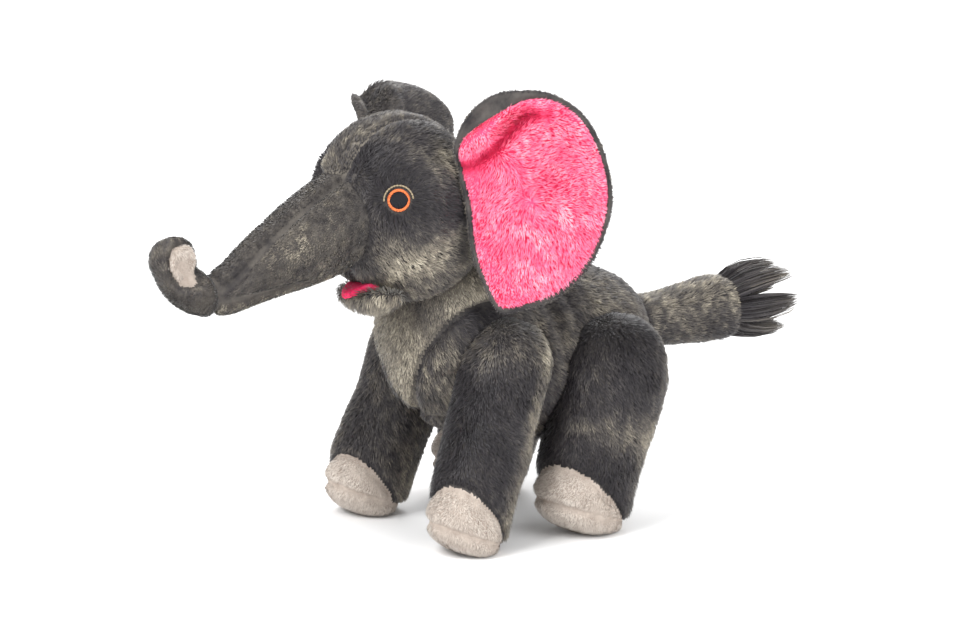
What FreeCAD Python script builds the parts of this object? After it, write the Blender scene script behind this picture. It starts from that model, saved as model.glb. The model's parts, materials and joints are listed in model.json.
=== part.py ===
import FreeCAD, Part
import math
import os

import Sketcher

# Stuffed plush elephant. Millimetres, +Z up. It stands on its four soles and faces -Y, its left side is +X.
# Every stuffed member is a bag of cover panels around a core of filling. Each bag is drawn in its own frame,
# with the point that it turns about at the origin, and its pieces are then placed on the animal.

doc = FreeCAD.newDocument("StuffedElephant")
sheet = doc.addObject("Spreadsheet::Sheet", "Dimensions")

Vector = FreeCAD.Vector
Rotation = FreeCAD.Rotation
Placement = FreeCAD.Placement

X_AXIS = Vector(1, 0, 0)
Y_AXIS = Vector(0, 1, 0)
Z_AXIS = Vector(0, 0, 1)
FAR = 200.0  # longer than any cut through one member

DIMENSIONS = [
    # where the animal stands, so that its box is centred on the origin
    ("stand_x", -6.75),
    ("stand_y", 17.17),
    # fabric
    ("cover_thickness", 3.0),
    ("stuffing_gap", 0.4),
    ("joint_gap", 0.4),
    # body: a barrel and, in front of it, the chest that carries the head
    ("barrel_half_width", 54.0),
    ("barrel_half_length", 80.0),
    ("barrel_half_height", 52.0),
    ("barrel_y", 14.0),
    ("barrel_z", 92.0),
    ("chest_half_width", 42.0),
    ("chest_half_length", 44.0),
    ("chest_half_height", 56.0),
    ("chest_y", -32.0),
    ("chest_z", 112.0),
    ("bib_tip_z", 62.0),
    ("bib_top_z", 150.0),
    ("bib_half_width", 46.0),
    ("belly_half_width", 17.0),
    ("belly_top_z", 64.0),
    # head
    ("skull_half_width", 44.0),
    ("skull_half_length", 48.0),
    ("skull_half_height", 52.0),
    ("skull_y", -68.0),
    ("skull_z", 183.0),
    ("head_roll", 7.5),
    ("neck_radius", 34.0),
    ("neck_ball_radius", 55.7),
    ("gusset_half_width", 13.0),
    ("chin_half_width", 26.0),
    ("chin_half_length", 23.0),
    ("chin_half_height", 17.0),
    ("chin_y", -20.0),
    ("chin_z", -38.0),
    ("mouth_z", -43.0),
    ("tongue_half_width", 17.0),
    ("tongue_reach", 41.0),
    ("tongue_thickness", 1.6),
    # embroidered eyes
    ("pupil_radius", 5.0),
    ("eye_ring_radius", 6.6),
    ("lid_inner_radius", 8.0),
    ("lid_outer_radius", 9.6),
    ("stitch_height", 1.4),
    ("stitch_sink", 0.7),
    # trunk
    ("trunk_root_y", -24.0),
    ("trunk_root_z", -1.0),
    ("trunk_root_radius", 29.5),
    ("trunk_raise", 12.0),
    ("trunk_lower", 6.0),
    ("trunk_strip_half_width", 11.5),
    ("trunk_slope", 18.8),
    ("trunk_elbow_y", -119.0),
    ("tip_radius", 15.3),
    ("tip_length", 14.0),
    ("tip_x", -2.6),
    ("tip_y", -140.5),
    ("tip_z", -12.3),
    ("tip_turn", 12.0),
    # ears
    ("ear_edge_x", 45.0),
    ("ear_edge_y", 23.0),
    ("ear_width", 76.0),
    ("ear_height", 118.0),
    ("ear_back_thickness", 4.0),
    ("ear_lining_thickness", 3.5),
    ("ear_lining_inset", 3.0),
    ("left_ear_flare", 40.0),
    ("left_ear_lean", 0.0),
    ("right_ear_flare", 26.0),
    ("right_ear_lean", 14.0),
    ("left_ear_lift", 0.0),
    ("right_ear_lift", 7.0),
    # legs
    ("leg_inner_x", 20.0),
    ("toe_cap_rise", 23.0),
    ("toe_cap_reach", 6.0),
    ("left_toe_turn", 36.0),
    ("right_toe_turn", 18.0),
    ("front_hip_x", 40.0),
    ("front_hip_y", -24.0),
    ("front_hip_z", 98.0),
    ("front_hip_half_width", 27.0),
    ("front_hip_half_depth", 27.5),
    ("front_shin_half_width", 25.0),
    ("front_shin_half_depth", 25.5),
    ("front_foot_half_width", 25.0),
    ("front_foot_half_depth", 26.0),
    ("front_length", 93.5),
    ("front_sole_bulge", 10.0),
    ("front_splay", 10.0),
    ("front_lean", 21.0),
    ("front_swing_forward", 22.0),
    ("front_swing_back", 2.5),
    ("rear_hip_x", 46.0),
    ("rear_hip_y", 41.0),
    ("rear_hip_z", 84.0),
    ("rear_hip_half_width", 28.0),
    ("rear_hip_half_depth", 35.0),
    ("rear_shin_half_width", 26.0),
    ("rear_shin_half_depth", 32.0),
    ("rear_foot_half_width", 26.0),
    ("rear_foot_half_depth", 30.0),
    ("rear_length", 75.0),
    ("rear_sole_bulge", 11.0),
    ("rear_splay", 4.0),
    ("rear_lean", 18.4),
    ("rear_swing_forward", 3.0),
    ("rear_swing_back", 20.0),
    # tail
    ("tail_y", 91.0),
    ("tail_z", 95.5),
    ("tail_root_radius", 17.3),
    ("tail_end_radius", 16.5),
    ("tail_length", 60.0),
    ("tail_rise", 2.3),
    ("tail_wag", 15.0),
    ("tuft_root_radius", 18.5),
    ("tuft_end_radius", 13.0),
    ("tuft_length", 38.0),
]

# The trunk's middle line in the head's frame, from the root towards the elbow, with its radius at each place.
TRUNK_STATIONS = [
    (-44.0, -7.0, 28.0),
    (-63.0, -14.5, 25.5),
    (-84.0, -22.0, 20.8),
    (-101.0, -29.0, 17.0),
    (-115.0, -33.0, 14.8),
    (-128.0, -31.0, 14.3),
    (-138.0, -23.5, 14.0),
    (-141.0, -13.0, 13.0),
]

for station, (reach, height, radius) in enumerate(TRUNK_STATIONS, start=1):
    DIMENSIONS.append((f"trunk_reach_{station}", reach))
    DIMENSIONS.append((f"trunk_height_{station}", height))
    DIMENSIONS.append((f"trunk_radius_{station}", radius))

for row, (alias, number) in enumerate(DIMENSIONS, start=1):
    sheet.set(f"A{row}", alias)
    sheet.set(f"B{row}", str(number))
    sheet.setAlias(f"B{row}", alias)
doc.recompute()


def cell(alias):
    return f"Dimensions.{alias}"


def size(alias):
    return float(sheet.get(alias))


# How far inside the outer surface each layer of a bag lies.
OUTER = "0"
CAVITY = cell("cover_thickness")
FILLING = f"({cell('cover_thickness')} + {cell('stuffing_gap')})"
LAYERS = {"outer": OUTER, "cavity": CAVITY, "filling": FILLING}


def bind(thing, bindings):
    for name, expression in bindings.items():
        thing.setExpression(name, expression)
    return thing


def at(x="0", y="0", z="0"):
    return {"Placement.Base.x": x, "Placement.Base.y": y, "Placement.Base.z": z}


def turned(axis, degrees):
    return Placement(Vector(0, 0, 0), Rotation(axis, degrees))


def fuse(name, solids):
    whole = doc.addObject("Part::MultiFuse", name)
    whole.Shapes = solids
    return whole


def cut(name, base, tool):
    left = doc.addObject("Part::Cut", name)
    left.Base = base
    left.Tool = tool
    return left


def common(name, first, second):
    shared = doc.addObject("Part::MultiCommon", name)
    shared.Shapes = [first, second]
    return shared


# Whole round solids have their poles left and right, clear of the animal's middle plane.
POLES_ACROSS = turned(Y_AXIS, 90)


def ellipsoid(name, halves, centre, inset):
    solid = doc.addObject("Part::Ellipsoid", name)
    solid.Placement = POLES_ACROSS
    half_x, half_y, half_z = halves
    bind(solid, {
        "Radius1": f"{half_x} - {inset}",
        "Radius2": f"{half_z} - {inset}",
        "Radius3": f"{half_y} - {inset}",
    })
    return bind(solid, at(*centre))


def dome(name, halves, centre, inset, upward):
    """The upper or the lower half of an ellipsoid."""
    solid = doc.addObject("Part::Ellipsoid", name)
    half_x, half_y, half_z = halves
    bind(solid, {
        "Radius1": f"{half_z} - {inset}",
        "Radius2": f"{half_x} - {inset}",
        "Radius3": f"{half_y} - {inset}",
    })
    if upward:
        solid.Angle1 = 0
    else:
        solid.Angle2 = 0
    return bind(solid, at(*centre))


def ball(name, radius, centre=("0", "0", "0")):
    solid = doc.addObject("Part::Sphere", name)
    solid.Placement = POLES_ACROSS
    bind(solid, {"Radius": radius})
    return bind(solid, at(*centre))


def slab(name, low, high):
    """A box from one corner to the other; each coordinate is an expression."""
    solid = doc.addObject("Part::Box", name)
    for side, start, end in zip(("Length", "Width", "Height"), low, high):
        solid.setExpression(side, f"({end}) - ({start})")
    return bind(solid, at(*low))


def sheet_value(expression):
    """The number that an expression of sheet cells stands for, for placements that are turned as well."""
    probe = doc.addObject("Part::Vertex", "Probe")
    probe.setExpression("X", expression)
    doc.recompute()
    number = float(probe.X)
    doc.removeObject(probe.Name)
    return number


def stand(piece, label, x="0", y="0", z="0", rotation=Rotation()):
    """Give a finished piece its name and its place on the animal."""
    piece.Label = label
    piece.Placement = Placement(piece.Placement.Base, rotation)
    bind(piece, at(f"{x} + {cell('stand_x')}", f"{y} + {cell('stand_y')}", z))
    nodes.append(piece)
    return piece


nodes = []


# ---------------------------------------------------------------- sockets that the moving members turn in

def swing_pocket(name, leg, side, inset):
    """The room beside the body that one leg sweeps: a round end at the hip and the leg at both limits."""
    reach = f"({cell(leg + '_hip_half_depth')} + {cell('joint_gap')} + {inset})"
    inner = f"({cell('leg_inner_x')} - {cell('joint_gap')} - {inset})"
    hip = Vector(0, size(leg + "_hip_y"), size(leg + "_hip_z"))
    round_end = doc.addObject("Part::Cylinder", name + "RoundEnd")
    bind(round_end, {"Radius": reach, "Height": str(FAR)})
    round_end.Placement = Placement(Vector(0, 0, 0), Rotation(Y_AXIS, 90.0 * side))
    bind(round_end, at(f"{side} * {inner}", cell(leg + "_hip_y"), cell(leg + "_hip_z")))
    parts = [round_end]
    angles = {
        "Forward": -(size(leg + "_lean") + size(leg + "_swing_forward")),
        "Back": -(size(leg + "_lean") - size(leg + "_swing_back")),
    }
    half = sheet_value(reach)
    start = sheet_value(inner)
    for word, angle in angles.items():
        sweep = doc.addObject("Part::Box", name + word)
        bind(sweep, {"Length": str(FAR), "Width": f"2 * {reach}", "Height": str(FAR)})
        corner_x = start if side > 0 else -start - FAR
        turn = Placement(hip, Rotation(X_AXIS, angle))
        sweep.Placement = turn.multiply(Placement(Vector(corner_x, -half, -FAR), Rotation()))
        parts.append(sweep)
    return fuse(name, parts)


# ---------------------------------------------------------------- body

def torso_layer(layer, inset):
    barrel = ellipsoid(
        f"Barrel_{layer}",
        (cell("barrel_half_width"), cell("barrel_half_length"), cell("barrel_half_height")),
        ("0", cell("barrel_y"), cell("barrel_z")), inset)
    chest = ellipsoid(
        f"Chest_{layer}",
        (cell("chest_half_width"), cell("chest_half_length"), cell("chest_half_height")),
        ("0", cell("chest_y"), cell("chest_z")), inset)
    bulk = fuse(f"TorsoBulk_{layer}", [barrel, chest])
    gap = cell("joint_gap")
    neck = ball(f"NeckSocket_{layer}", f"{cell('neck_ball_radius')} + {gap} + {inset}",
                ("0", cell("skull_y"), cell("skull_z")))
    tail = ball(f"TailSocket_{layer}", f"{cell('tail_root_radius')} + {gap} + {inset}",
                ("0", cell("tail_y"), cell("tail_z")))
    rooms = [neck, tail]
    for leg in ("front", "rear"):
        for side, word in ((1, "Left"), (-1, "Right")):
            rooms.append(swing_pocket(f"{leg.title()}{word}Pocket_{layer}", leg, side, inset))
    for word, sign in (("Left", 1), ("Right", -1)):
        sweep = doc.addObject("Part::Cylinder", f"TailSweep{word}_{layer}")
        bind(sweep, {
            "Radius": f"{cell('tail_root_radius')} + {gap} + {inset}",
            "Height": str(FAR),
        })
        wag = Rotation(Z_AXIS, sign * size("tail_wag"))
        sweep.Placement = Placement(Vector(0, 0, 0), wag.multiply(Rotation(X_AXIS, -90)))
        bind(sweep, at("0", cell("tail_y"), cell("tail_z")))
        rooms.append(sweep)
    return cut(f"Torso_{layer}", bulk, fuse(f"TorsoRooms_{layer}", rooms))


def bib_prism():
    """The chest bib's outline seen from the front: a wedge that ends in a point between the front legs."""
    half = size("bib_half_width")
    outline = [
        Vector(0, 0, size("bib_tip_z")),
        Vector(half, 0, size("bib_top_z")),
        Vector(half, 0, size("bib_top_z") + half),
        Vector(-half, 0, size("bib_top_z") + half),
        Vector(-half, 0, size("bib_top_z")),
    ]
    face = doc.addObject("Part::Feature", "BibOutline")
    face.Shape = Part.Face(Part.makePolygon(outline + outline[:1]))
    prism = doc.addObject("Part::Extrusion", "BibPrism")
    prism.Base = face
    prism.DirMode = "Custom"
    prism.Dir = Vector(0, -1, 0)
    prism.LengthFwd = FAR
    prism.Solid = True
    return prism


def build_torso():
    layers = {layer: torso_layer(layer, inset) for layer, inset in LAYERS.items()}
    shell = cut("TorsoShell", layers["outer"], layers["cavity"])
    bib = bib_prism()
    belly_room = slab(
        "BellyRoom",
        (f"-{cell('belly_half_width')}", "-100", "-50"),
        (cell("belly_half_width"), "70", cell("belly_top_z")))
    right_room = slab("RightRoom", (str(-FAR), str(-FAR), str(-FAR)), ("0", str(FAR), str(2 * FAR)))
    chest = common("ChestPanel", shell, bib)
    rest = cut("TorsoLessBib", shell, bib)
    belly = common("BellyPanel", rest, belly_room)
    sides = cut("TorsoSides", rest, belly_room)
    stand(chest, "chest_panel")
    stand(belly, "belly_panel")
    stand(cut("TorsoSideLeft", sides, right_room), "torso_side_left")
    stand(common("TorsoSideRight", sides, right_room), "torso_side_right")
    stand(layers["filling"], "torso_stuffing")


# ---------------------------------------------------------------- legs

def ellipse(name, half_width, half_depth, x, z):
    """A level ellipse whose long axis runs fore and aft."""
    ring = doc.addObject("Part::Ellipse", name)
    ring.Placement = turned(Z_AXIS, 90)
    bind(ring, {"MajorRadius": half_depth, "MinorRadius": half_width})
    return bind(ring, at(x, "0", z))


def leg_layer(name, leg, side, inset):
    """One layer of a leg that hangs from its hip: a domed top, a lofted shin and a bulging sole."""
    def half(alias):
        return f"{cell(leg + alias)} - {inset}"

    splay = f"{side} * {cell(leg + '_splay')}"
    top = dome(
        name + "Top", (cell(leg + "_hip_half_width"), cell(leg + "_hip_half_depth"),
                       cell(leg + "_hip_half_depth")), ("0", "0", "0"), inset, True)
    sections = [
        ellipse(name + "Hip", half("_hip_half_width"), half("_hip_half_depth"), "0", "0"),
        ellipse(name + "Shin", half("_shin_half_width"), half("_shin_half_depth"),
                f"0.55 * {splay}", f"-0.55 * {cell(leg + '_length')}"),
        ellipse(name + "Foot", half("_foot_half_width"), half("_foot_half_depth"),
                splay, f"-{cell(leg + '_length')}"),
    ]
    shaft = doc.addObject("Part::Loft", name + "Shaft")
    shaft.Sections = sections
    shaft.Solid = True
    bottom = dome(
        name + "Bottom", (cell(leg + "_foot_half_width"), cell(leg + "_foot_half_depth"),
                          cell(leg + "_sole_bulge")),
        (splay, "0", f"-{cell(leg + '_length')}"), inset, False)
    return fuse(name, [top, shaft, bottom])


def build_leg(leg, side):
    word = "left" if side > 0 else "right"
    name = f"{leg.title()}{word.title()}"
    lean = Rotation(X_AXIS, -size(leg + "_lean"))
    upright = Placement(Vector(0, 0, 0), lean.inverted())
    hip_z = size(leg + "_hip_z")
    layers = {}
    for layer, inset in LAYERS.items():
        whole = leg_layer(f"{name}Leg_{layer}", leg, side, inset)
        # flat against the body's side, and flat where the foot rests
        inner = f"({cell('leg_inner_x')} + {inset} - {cell(leg + '_hip_x')})"
        if side > 0:
            beside = slab(f"{name}Beside_{layer}", (str(-FAR), str(-FAR), str(-FAR)),
                          (inner, str(FAR), str(FAR)))
        else:
            beside = slab(f"{name}Beside_{layer}", (f"-{inner}", str(-FAR), str(-FAR)),
                          (str(FAR), str(FAR), str(FAR)))
        below = doc.addObject("Part::Box", f"{name}Below_{layer}")
        bind(below, {"Length": str(FAR), "Width": str(FAR), "Height": str(FAR)})
        floor = sheet_value(inset) - hip_z - FAR
        below.Placement = upright.multiply(Placement(Vector(-FAR / 2, -FAR / 2, floor), Rotation()))
        layers[layer] = cut(f"{name}Trimmed_{layer}", whole,
                            fuse(f"{name}Trim_{layer}", [beside, below]))
    shell = cut(f"{name}Shell", layers["outer"], layers["cavity"])
    sole_room = slab(f"{name}SoleRoom", (str(-FAR), str(-FAR), str(-FAR)),
                     (str(FAR), str(FAR), f"-{cell(leg + '_length')}"))
    depth = size(leg + "_foot_half_depth")
    slope = math.degrees(math.atan2(size("toe_cap_rise"), depth + size("toe_cap_reach")))
    toe_room = doc.addObject("Part::Box", f"{name}ToeRoom")
    bind(toe_room, {"Length": str(FAR), "Width": str(FAR), "Height": str(FAR)})
    crease = Vector(0, size("toe_cap_reach"), -size(leg + "_length"))
    turned_out = Rotation(Z_AXIS, size(f"{word}_toe_turn"))
    toe_room.Placement = Placement(crease, turned_out.multiply(Rotation(X_AXIS, -slope))).multiply(
        Placement(Vector(-FAR / 2, -FAR, -FAR), Rotation()))
    above_sole = cut(f"{name}AboveSole", shell, sole_room)
    pieces = {
        "sleeve": cut(f"{name}Sleeve", above_sole, toe_room),
        "toe_cap": common(f"{name}ToeCap", above_sole, toe_room),
        "sole": common(f"{name}Sole", shell, sole_room),
        "stuffing": layers["filling"],
    }
    for part, piece in pieces.items():
        stand(piece, f"{leg}_{word}_{part}", f"{side} * {cell(leg + '_hip_x')}",
              cell(leg + "_hip_y"), cell(leg + "_hip_z"), lean)


# ---------------------------------------------------------------- head

def stand_on_head(piece, label):
    return stand(piece, label, "0", cell("skull_y"), cell("skull_z"), Rotation(Y_AXIS, -size("head_roll")))


def trunk_socket(layer, inset):
    """The hollow in the face: a ball and the trunk at its limits."""
    radius = f"{cell('trunk_root_radius')} + {cell('joint_gap')} + {inset}"
    root = ("0", cell("trunk_root_y"), cell("trunk_root_z"))
    rooms = [ball(f"TrunkSocket_{layer}", radius, root)]
    slope = size("trunk_slope")
    middle = (size("trunk_lower") - size("trunk_raise")) / 2
    for number, turn in enumerate((-size("trunk_raise"), middle, size("trunk_lower"))):
        sweep = doc.addObject("Part::Cylinder", f"TrunkSweep{number}_{layer}")
        bind(sweep, {"Radius": radius, "Height": str(FAR)})
        sweep.Placement = turned(X_AXIS, 90 + slope + turn)
        bind(sweep, at(*root))
        rooms.append(sweep)
    return fuse(f"TrunkRooms_{layer}", rooms)


def skull_layer(layer, inset):
    skull = ellipsoid(
        f"SkullBall_{layer}",
        (cell("skull_half_width"), cell("skull_half_length"), cell("skull_half_height")),
        ("0", "0", "0"), inset)
    neck_ball = ball(f"NeckBall_{layer}", f"{cell('neck_ball_radius')} - {inset}")
    neck_post = doc.addObject("Part::Cylinder", f"NeckPost_{layer}")
    bind(neck_post, {"Radius": f"{cell('neck_radius')} - {inset}", "Height": str(FAR)})
    neck_post.Placement = turned(X_AXIS, -150)
    neck = common(f"Neck_{layer}", neck_ball, neck_post)
    bulk = fuse(f"SkullBulk_{layer}", [skull, neck])
    return cut(f"Skull_{layer}", bulk, trunk_socket(layer, inset))


# Where the left eye sits on the skull, as fractions of the skull's half width and half height.
EYE_ACROSS = 0.879
EYE_UP = 0.135


def eye_frame(side):
    """The eye's centre on the skull, with its Z axis along the outward normal and its Y axis up."""
    halves = [size("skull_half_width"), size("skull_half_length"), size("skull_half_height")]
    forward = -math.sqrt(1 - EYE_ACROSS ** 2 - EYE_UP ** 2)
    unit = [side * EYE_ACROSS, forward, EYE_UP]
    centre = Vector(*[half * share for half, share in zip(halves, unit)])
    normal = Vector(*[share / half for half, share in zip(halves, unit)]).normalize()
    across = Z_AXIS.cross(normal).normalize()
    up = normal.cross(across)
    sunk = centre - normal * size("stitch_sink")
    return Placement(sunk, Rotation(across, up, normal, "ZXY"))


def stitched_body(name, draw):
    """A flat patch of embroidery: one sketch padded to the height of the stitches."""
    body = doc.addObject("PartDesign::Body", name)
    outline = body.newObject("Sketcher::SketchObject", name + "Outline")
    outline.AttachmentSupport = [(body.Origin.OriginFeatures[3], "")]
    outline.MapMode = "FlatFace"
    draw(outline)
    pad = body.newObject("PartDesign::Pad", name + "Pad")
    pad.Profile = outline
    bind(pad, {"Length": cell("stitch_height")})
    doc.recompute()
    body.Tip = pad
    return body


def add_circle(outline, radius_alias):
    circle = outline.addGeometry(Part.Circle(Vector(0, 0, 0), Z_AXIS, size(radius_alias)), False)
    outline.addConstraint(Sketcher.Constraint("Coincident", circle, 3, -1, 1))
    rule = outline.addConstraint(Sketcher.Constraint("Radius", circle, size(radius_alias)))
    outline.setExpression(f"Constraints[{rule}]", cell(radius_alias))


def draw_pupil(outline):
    add_circle(outline, "pupil_radius")


def draw_ring(outline):
    add_circle(outline, "pupil_radius")
    add_circle(outline, "eye_ring_radius")


def draw_lid(outline):
    """A half ring above the eye."""
    inner = size("lid_inner_radius")
    outer = size("lid_outer_radius")
    for radius in (inner, outer):
        circle = Part.Circle(Vector(0, 0, 0), Z_AXIS, radius)
        outline.addGeometry(Part.ArcOfCircle(circle, 0, math.pi), False)
    outline.addGeometry(Part.LineSegment(Vector(inner, 0, 0), Vector(outer, 0, 0)), False)
    outline.addGeometry(Part.LineSegment(Vector(-inner, 0, 0), Vector(-outer, 0, 0)), False)


def build_eye(side):
    word = "left" if side > 0 else "right"
    frame = eye_frame(side)
    pieces = {"pupil": draw_pupil, "ring": draw_ring, "lid": draw_lid}
    for part, draw in pieces.items():
        body = stitched_body(f"Eye{part.title()}{word.title()}", draw)
        roll = Placement(Vector(0, size("skull_y"), size("skull_z")), Rotation(Y_AXIS, -size("head_roll")))
        placed = roll.multiply(frame)
        body.Placement = placed
        body.Label = f"eye_{part}_{word}"
        bind(body, at(f"{placed.Base.x} + {cell('stand_x')}", f"{placed.Base.y} + {cell('stand_y')}",
                      str(placed.Base.z)))
        nodes.append(body)
    # the patch of skull that the embroidery is sewn into
    bed = doc.addObject("Part::Cylinder", f"EyeBed{word.title()}")
    bind(bed, {"Radius": cell("lid_outer_radius"), "Height": "10"})
    bed.Placement = frame
    return bed


def build_head():
    layers = {layer: skull_layer(layer, inset) for layer, inset in LAYERS.items()}
    shell = cut("SkullShell", layers["outer"], layers["cavity"])
    beds = fuse("EyeBeds", [build_eye(1), build_eye(-1)])
    shell = cut("SkullShellWithBeds", shell, beds)
    crown_room = slab(
        "CrownRoom",
        (f"-{cell('gusset_half_width')}", str(-FAR), "0"),
        (cell("gusset_half_width"), str(FAR), str(FAR)))
    right_room = slab("HeadRightRoom", (str(-FAR), str(-FAR), str(-FAR)), ("0", str(FAR), str(FAR)))
    sides = cut("HeadSides", shell, crown_room)
    stand_on_head(common("HeadGusset", shell, crown_room), "head_gusset")
    stand_on_head(cut("HeadSideLeft", sides, right_room), "head_side_left")
    stand_on_head(common("HeadSideRight", sides, right_room), "head_side_right")
    stand_on_head(layers["filling"], "head_stuffing")

    chin_ball = ellipsoid(
        "ChinBall", (cell("chin_half_width"), cell("chin_half_length"), cell("chin_half_height")),
        ("0", cell("chin_y"), cell("chin_z")), OUTER)
    above_mouth = slab("AboveMouth", (str(-FAR), str(-FAR), cell("mouth_z")),
                       (str(FAR), str(FAR), str(FAR)))
    not_chin = fuse("NotChin", [layers["outer"], above_mouth])
    stand_on_head(cut("Chin", chin_ball, not_chin), "chin")

    tongue_disc = doc.addObject("Part::Cylinder", "TongueDisc")
    bind(tongue_disc, {"Radius": cell("tongue_half_width"), "Height": cell("tongue_thickness")})
    bind(tongue_disc, at("0", f"{cell('tongue_half_width')} - {cell('tongue_reach')}", cell("mouth_z")))
    stand_on_head(cut("Tongue", tongue_disc, layers["outer"]), "tongue")


# ---------------------------------------------------------------- trunk

def trunk_layer(layer, inset):
    root = doc.addObject("Part::Sphere", f"TrunkRoot_{layer}")
    bind(root, {"Radius": f"{cell('trunk_root_radius')} - {inset}"})
    root.Angle1 = 0
    root.Placement = turned(X_AXIS, -90 + size("trunk_slope"))
    bind(root, at("0", cell("trunk_root_y"), cell("trunk_root_z")))

    line = [(size("trunk_root_y"), size("trunk_root_z"))]
    line += [(reach, height) for reach, height, _ in TRUNK_STATIONS]
    rings = []
    for number, (reach, height) in enumerate(line):
        if number == 0:
            slope = size("trunk_slope")
            radius = cell("trunk_root_radius")
            place = at("0", cell("trunk_root_y"), cell("trunk_root_z"))
        else:
            before = line[number - 1]
            after = line[min(number + 1, len(line) - 1)]
            slope = math.degrees(math.atan2(before[1] - after[1], before[0] - after[0]))
            radius = cell(f"trunk_radius_{number}")
            place = at("0", cell(f"trunk_reach_{number}"), cell(f"trunk_height_{number}"))
        ring = doc.addObject("Part::Circle", f"TrunkRing{number}_{layer}")
        ring.Placement = turned(X_AXIS, 90 + slope)
        bind(ring, {"Radius": f"{radius} - {inset}"})
        rings.append(bind(ring, place))
    tube = doc.addObject("Part::Loft", f"TrunkTube_{layer}")
    tube.Sections = rings
    tube.Solid = True

    # the blunt tip, turned towards the animal's left
    facing = Rotation(Z_AXIS, size("tip_turn")).multiply(Rotation(Y_AXIS, 90))
    tip_at = at(cell("tip_x"), cell("tip_y"), cell("tip_z"))
    round_tip = doc.addObject("Part::Sphere", f"TipBall_{layer}")
    round_tip.Angle2 = 0
    blunt_tip = doc.addObject("Part::Cylinder", f"TipStub_{layer}")
    for solid in (round_tip, blunt_tip):
        solid.Placement = Placement(Vector(0, 0, 0), facing)
        bind(solid, {"Radius": f"{cell('tip_radius')} - {inset}"})
        bind(solid, tip_at)
    bind(blunt_tip, {"Height": f"{cell('tip_length')} - {inset}"})
    return fuse(f"Trunk_{layer}", [root, tube, round_tip, blunt_tip])


def build_trunk():
    layers = {layer: trunk_layer(layer, inset) for layer, inset in LAYERS.items()}
    shell = cut("TrunkShell", layers["outer"], layers["cavity"])
    facing = Rotation(Z_AXIS, size("tip_turn")).multiply(Rotation(Y_AXIS, 90))
    disc = doc.addObject("Part::Cylinder", "TipDisc")
    bind(disc, {
        "Radius": f"{cell('tip_radius')} - {cell('cover_thickness')}",
        "Height": cell("cover_thickness"),
    })
    disc.Placement = Placement(Vector(0, 0, 0), facing)
    along = facing.multVec(Z_AXIS)
    step = f"({cell('tip_length')} - {cell('cover_thickness')})"
    bind(disc, at(f"{cell('tip_x')} + {along.x} * {step}", f"{cell('tip_y')} + {along.y} * {step}",
                  f"{cell('tip_z')} + {along.z} * {step}"))
    open_shell = cut("TrunkShellOpen", shell, disc)
    tip_room = slab("TipRoom", (str(-FAR), str(-FAR), str(-FAR)), (str(FAR), cell("trunk_elbow_y"), str(FAR)))
    stand_on_head(common("TrunkTipSleeve", open_shell, tip_room), "trunk_tip_sleeve")
    tube = cut("TrunkTubeShell", open_shell, tip_room)

    half = size("trunk_strip_half_width")
    tilt = Placement(Vector(0, size("trunk_root_y"), size("trunk_root_z")),
                     Rotation(X_AXIS, size("trunk_slope")))
    strips = {}
    for word, floor in (("Top", 0.0), ("Under", -FAR)):
        room = doc.addObject("Part::Box", f"Trunk{word}Room")
        bind(room, {"Length": f"2 * {cell('trunk_strip_half_width')}", "Width": str(2 * FAR),
                    "Height": str(FAR)})
        room.Placement = tilt.multiply(Placement(Vector(-half, -FAR, floor), Rotation()))
        strips[word] = room
    stand_on_head(common("TrunkTopStrip", tube, strips["Top"]), "trunk_top_strip")
    stand_on_head(common("TrunkUnderStrip", tube, strips["Under"]), "trunk_under_strip")
    sides = cut("TrunkSides", tube, fuse("TrunkStripRooms", list(strips.values())))
    right_room = slab("TrunkRightRoom", (str(-FAR), str(-FAR), str(-FAR)), ("0", str(FAR), str(FAR)))
    stand_on_head(cut("TrunkSideLeft", sides, right_room), "trunk_side_left")
    stand_on_head(common("TrunkSideRight", sides, right_room), "trunk_side_right")
    behind_disc = doc.addObject("Part::Cylinder", "BehindTipDisc")
    bind(behind_disc, {"Radius": cell("tip_radius"), "Height": cell("tip_length")})
    behind_disc.Placement = Placement(Vector(0, 0, 0), facing)
    back = f"({cell('tip_length')} - {FILLING})"
    bind(behind_disc, at(f"{cell('tip_x')} + {along.x} * {back}", f"{cell('tip_y')} + {along.y} * {back}",
                         f"{cell('tip_z')} + {along.z} * {back}"))
    stand_on_head(cut("TrunkStuffing", layers["filling"], behind_disc), "trunk_stuffing")

    stand_on_head(common("TrunkTipDisc", layers["outer"], disc), "trunk_tip_disc")


# ---------------------------------------------------------------- ears

# The ear's outline as shares of its width (from the sewn edge) and of its height (from the middle).
EAR_OUTLINE = [
    (-0.05, 0.27), (0.02, 0.42), (0.24, 0.50), (0.55, 0.49), (0.82, 0.38), (0.97, 0.18),
    (0.99, -0.05), (0.83, -0.28), (0.56, -0.44), (0.26, -0.50), (0.09, -0.49), (0.02, -0.30), (0.0, 0.0),
]


def ear_layer(name, inset, thickness):
    """One fabric layer of an ear, standing in the plane of its sewn edge (local X is away from the head)."""
    width = size("ear_width")
    height = size("ear_height")
    body = doc.addObject("PartDesign::Body", name)
    outline = body.newObject("Sketcher::SketchObject", name + "Outline")
    outline.AttachmentSupport = [(body.Origin.OriginFeatures[4], "")]
    outline.MapMode = "FlatFace"
    middle = (0.48 * width, 0.0)
    points = []
    for across, up in EAR_OUTLINE:
        from_middle = Vector(across * width - middle[0], up * height, 0)
        shorter = from_middle * (1 - inset / from_middle.Length)
        points.append(Vector(middle[0] + shorter.x, shorter.y, 0))
    curve = Part.BSplineCurve()
    curve.interpolate(Points=points, PeriodicFlag=True)
    outline.addGeometry(curve, False)
    pad = body.newObject("PartDesign::Pad", name + "Pad")
    pad.Profile = outline
    bind(pad, {"Length": thickness})
    doc.recompute()
    body.Tip = pad
    return body


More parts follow.
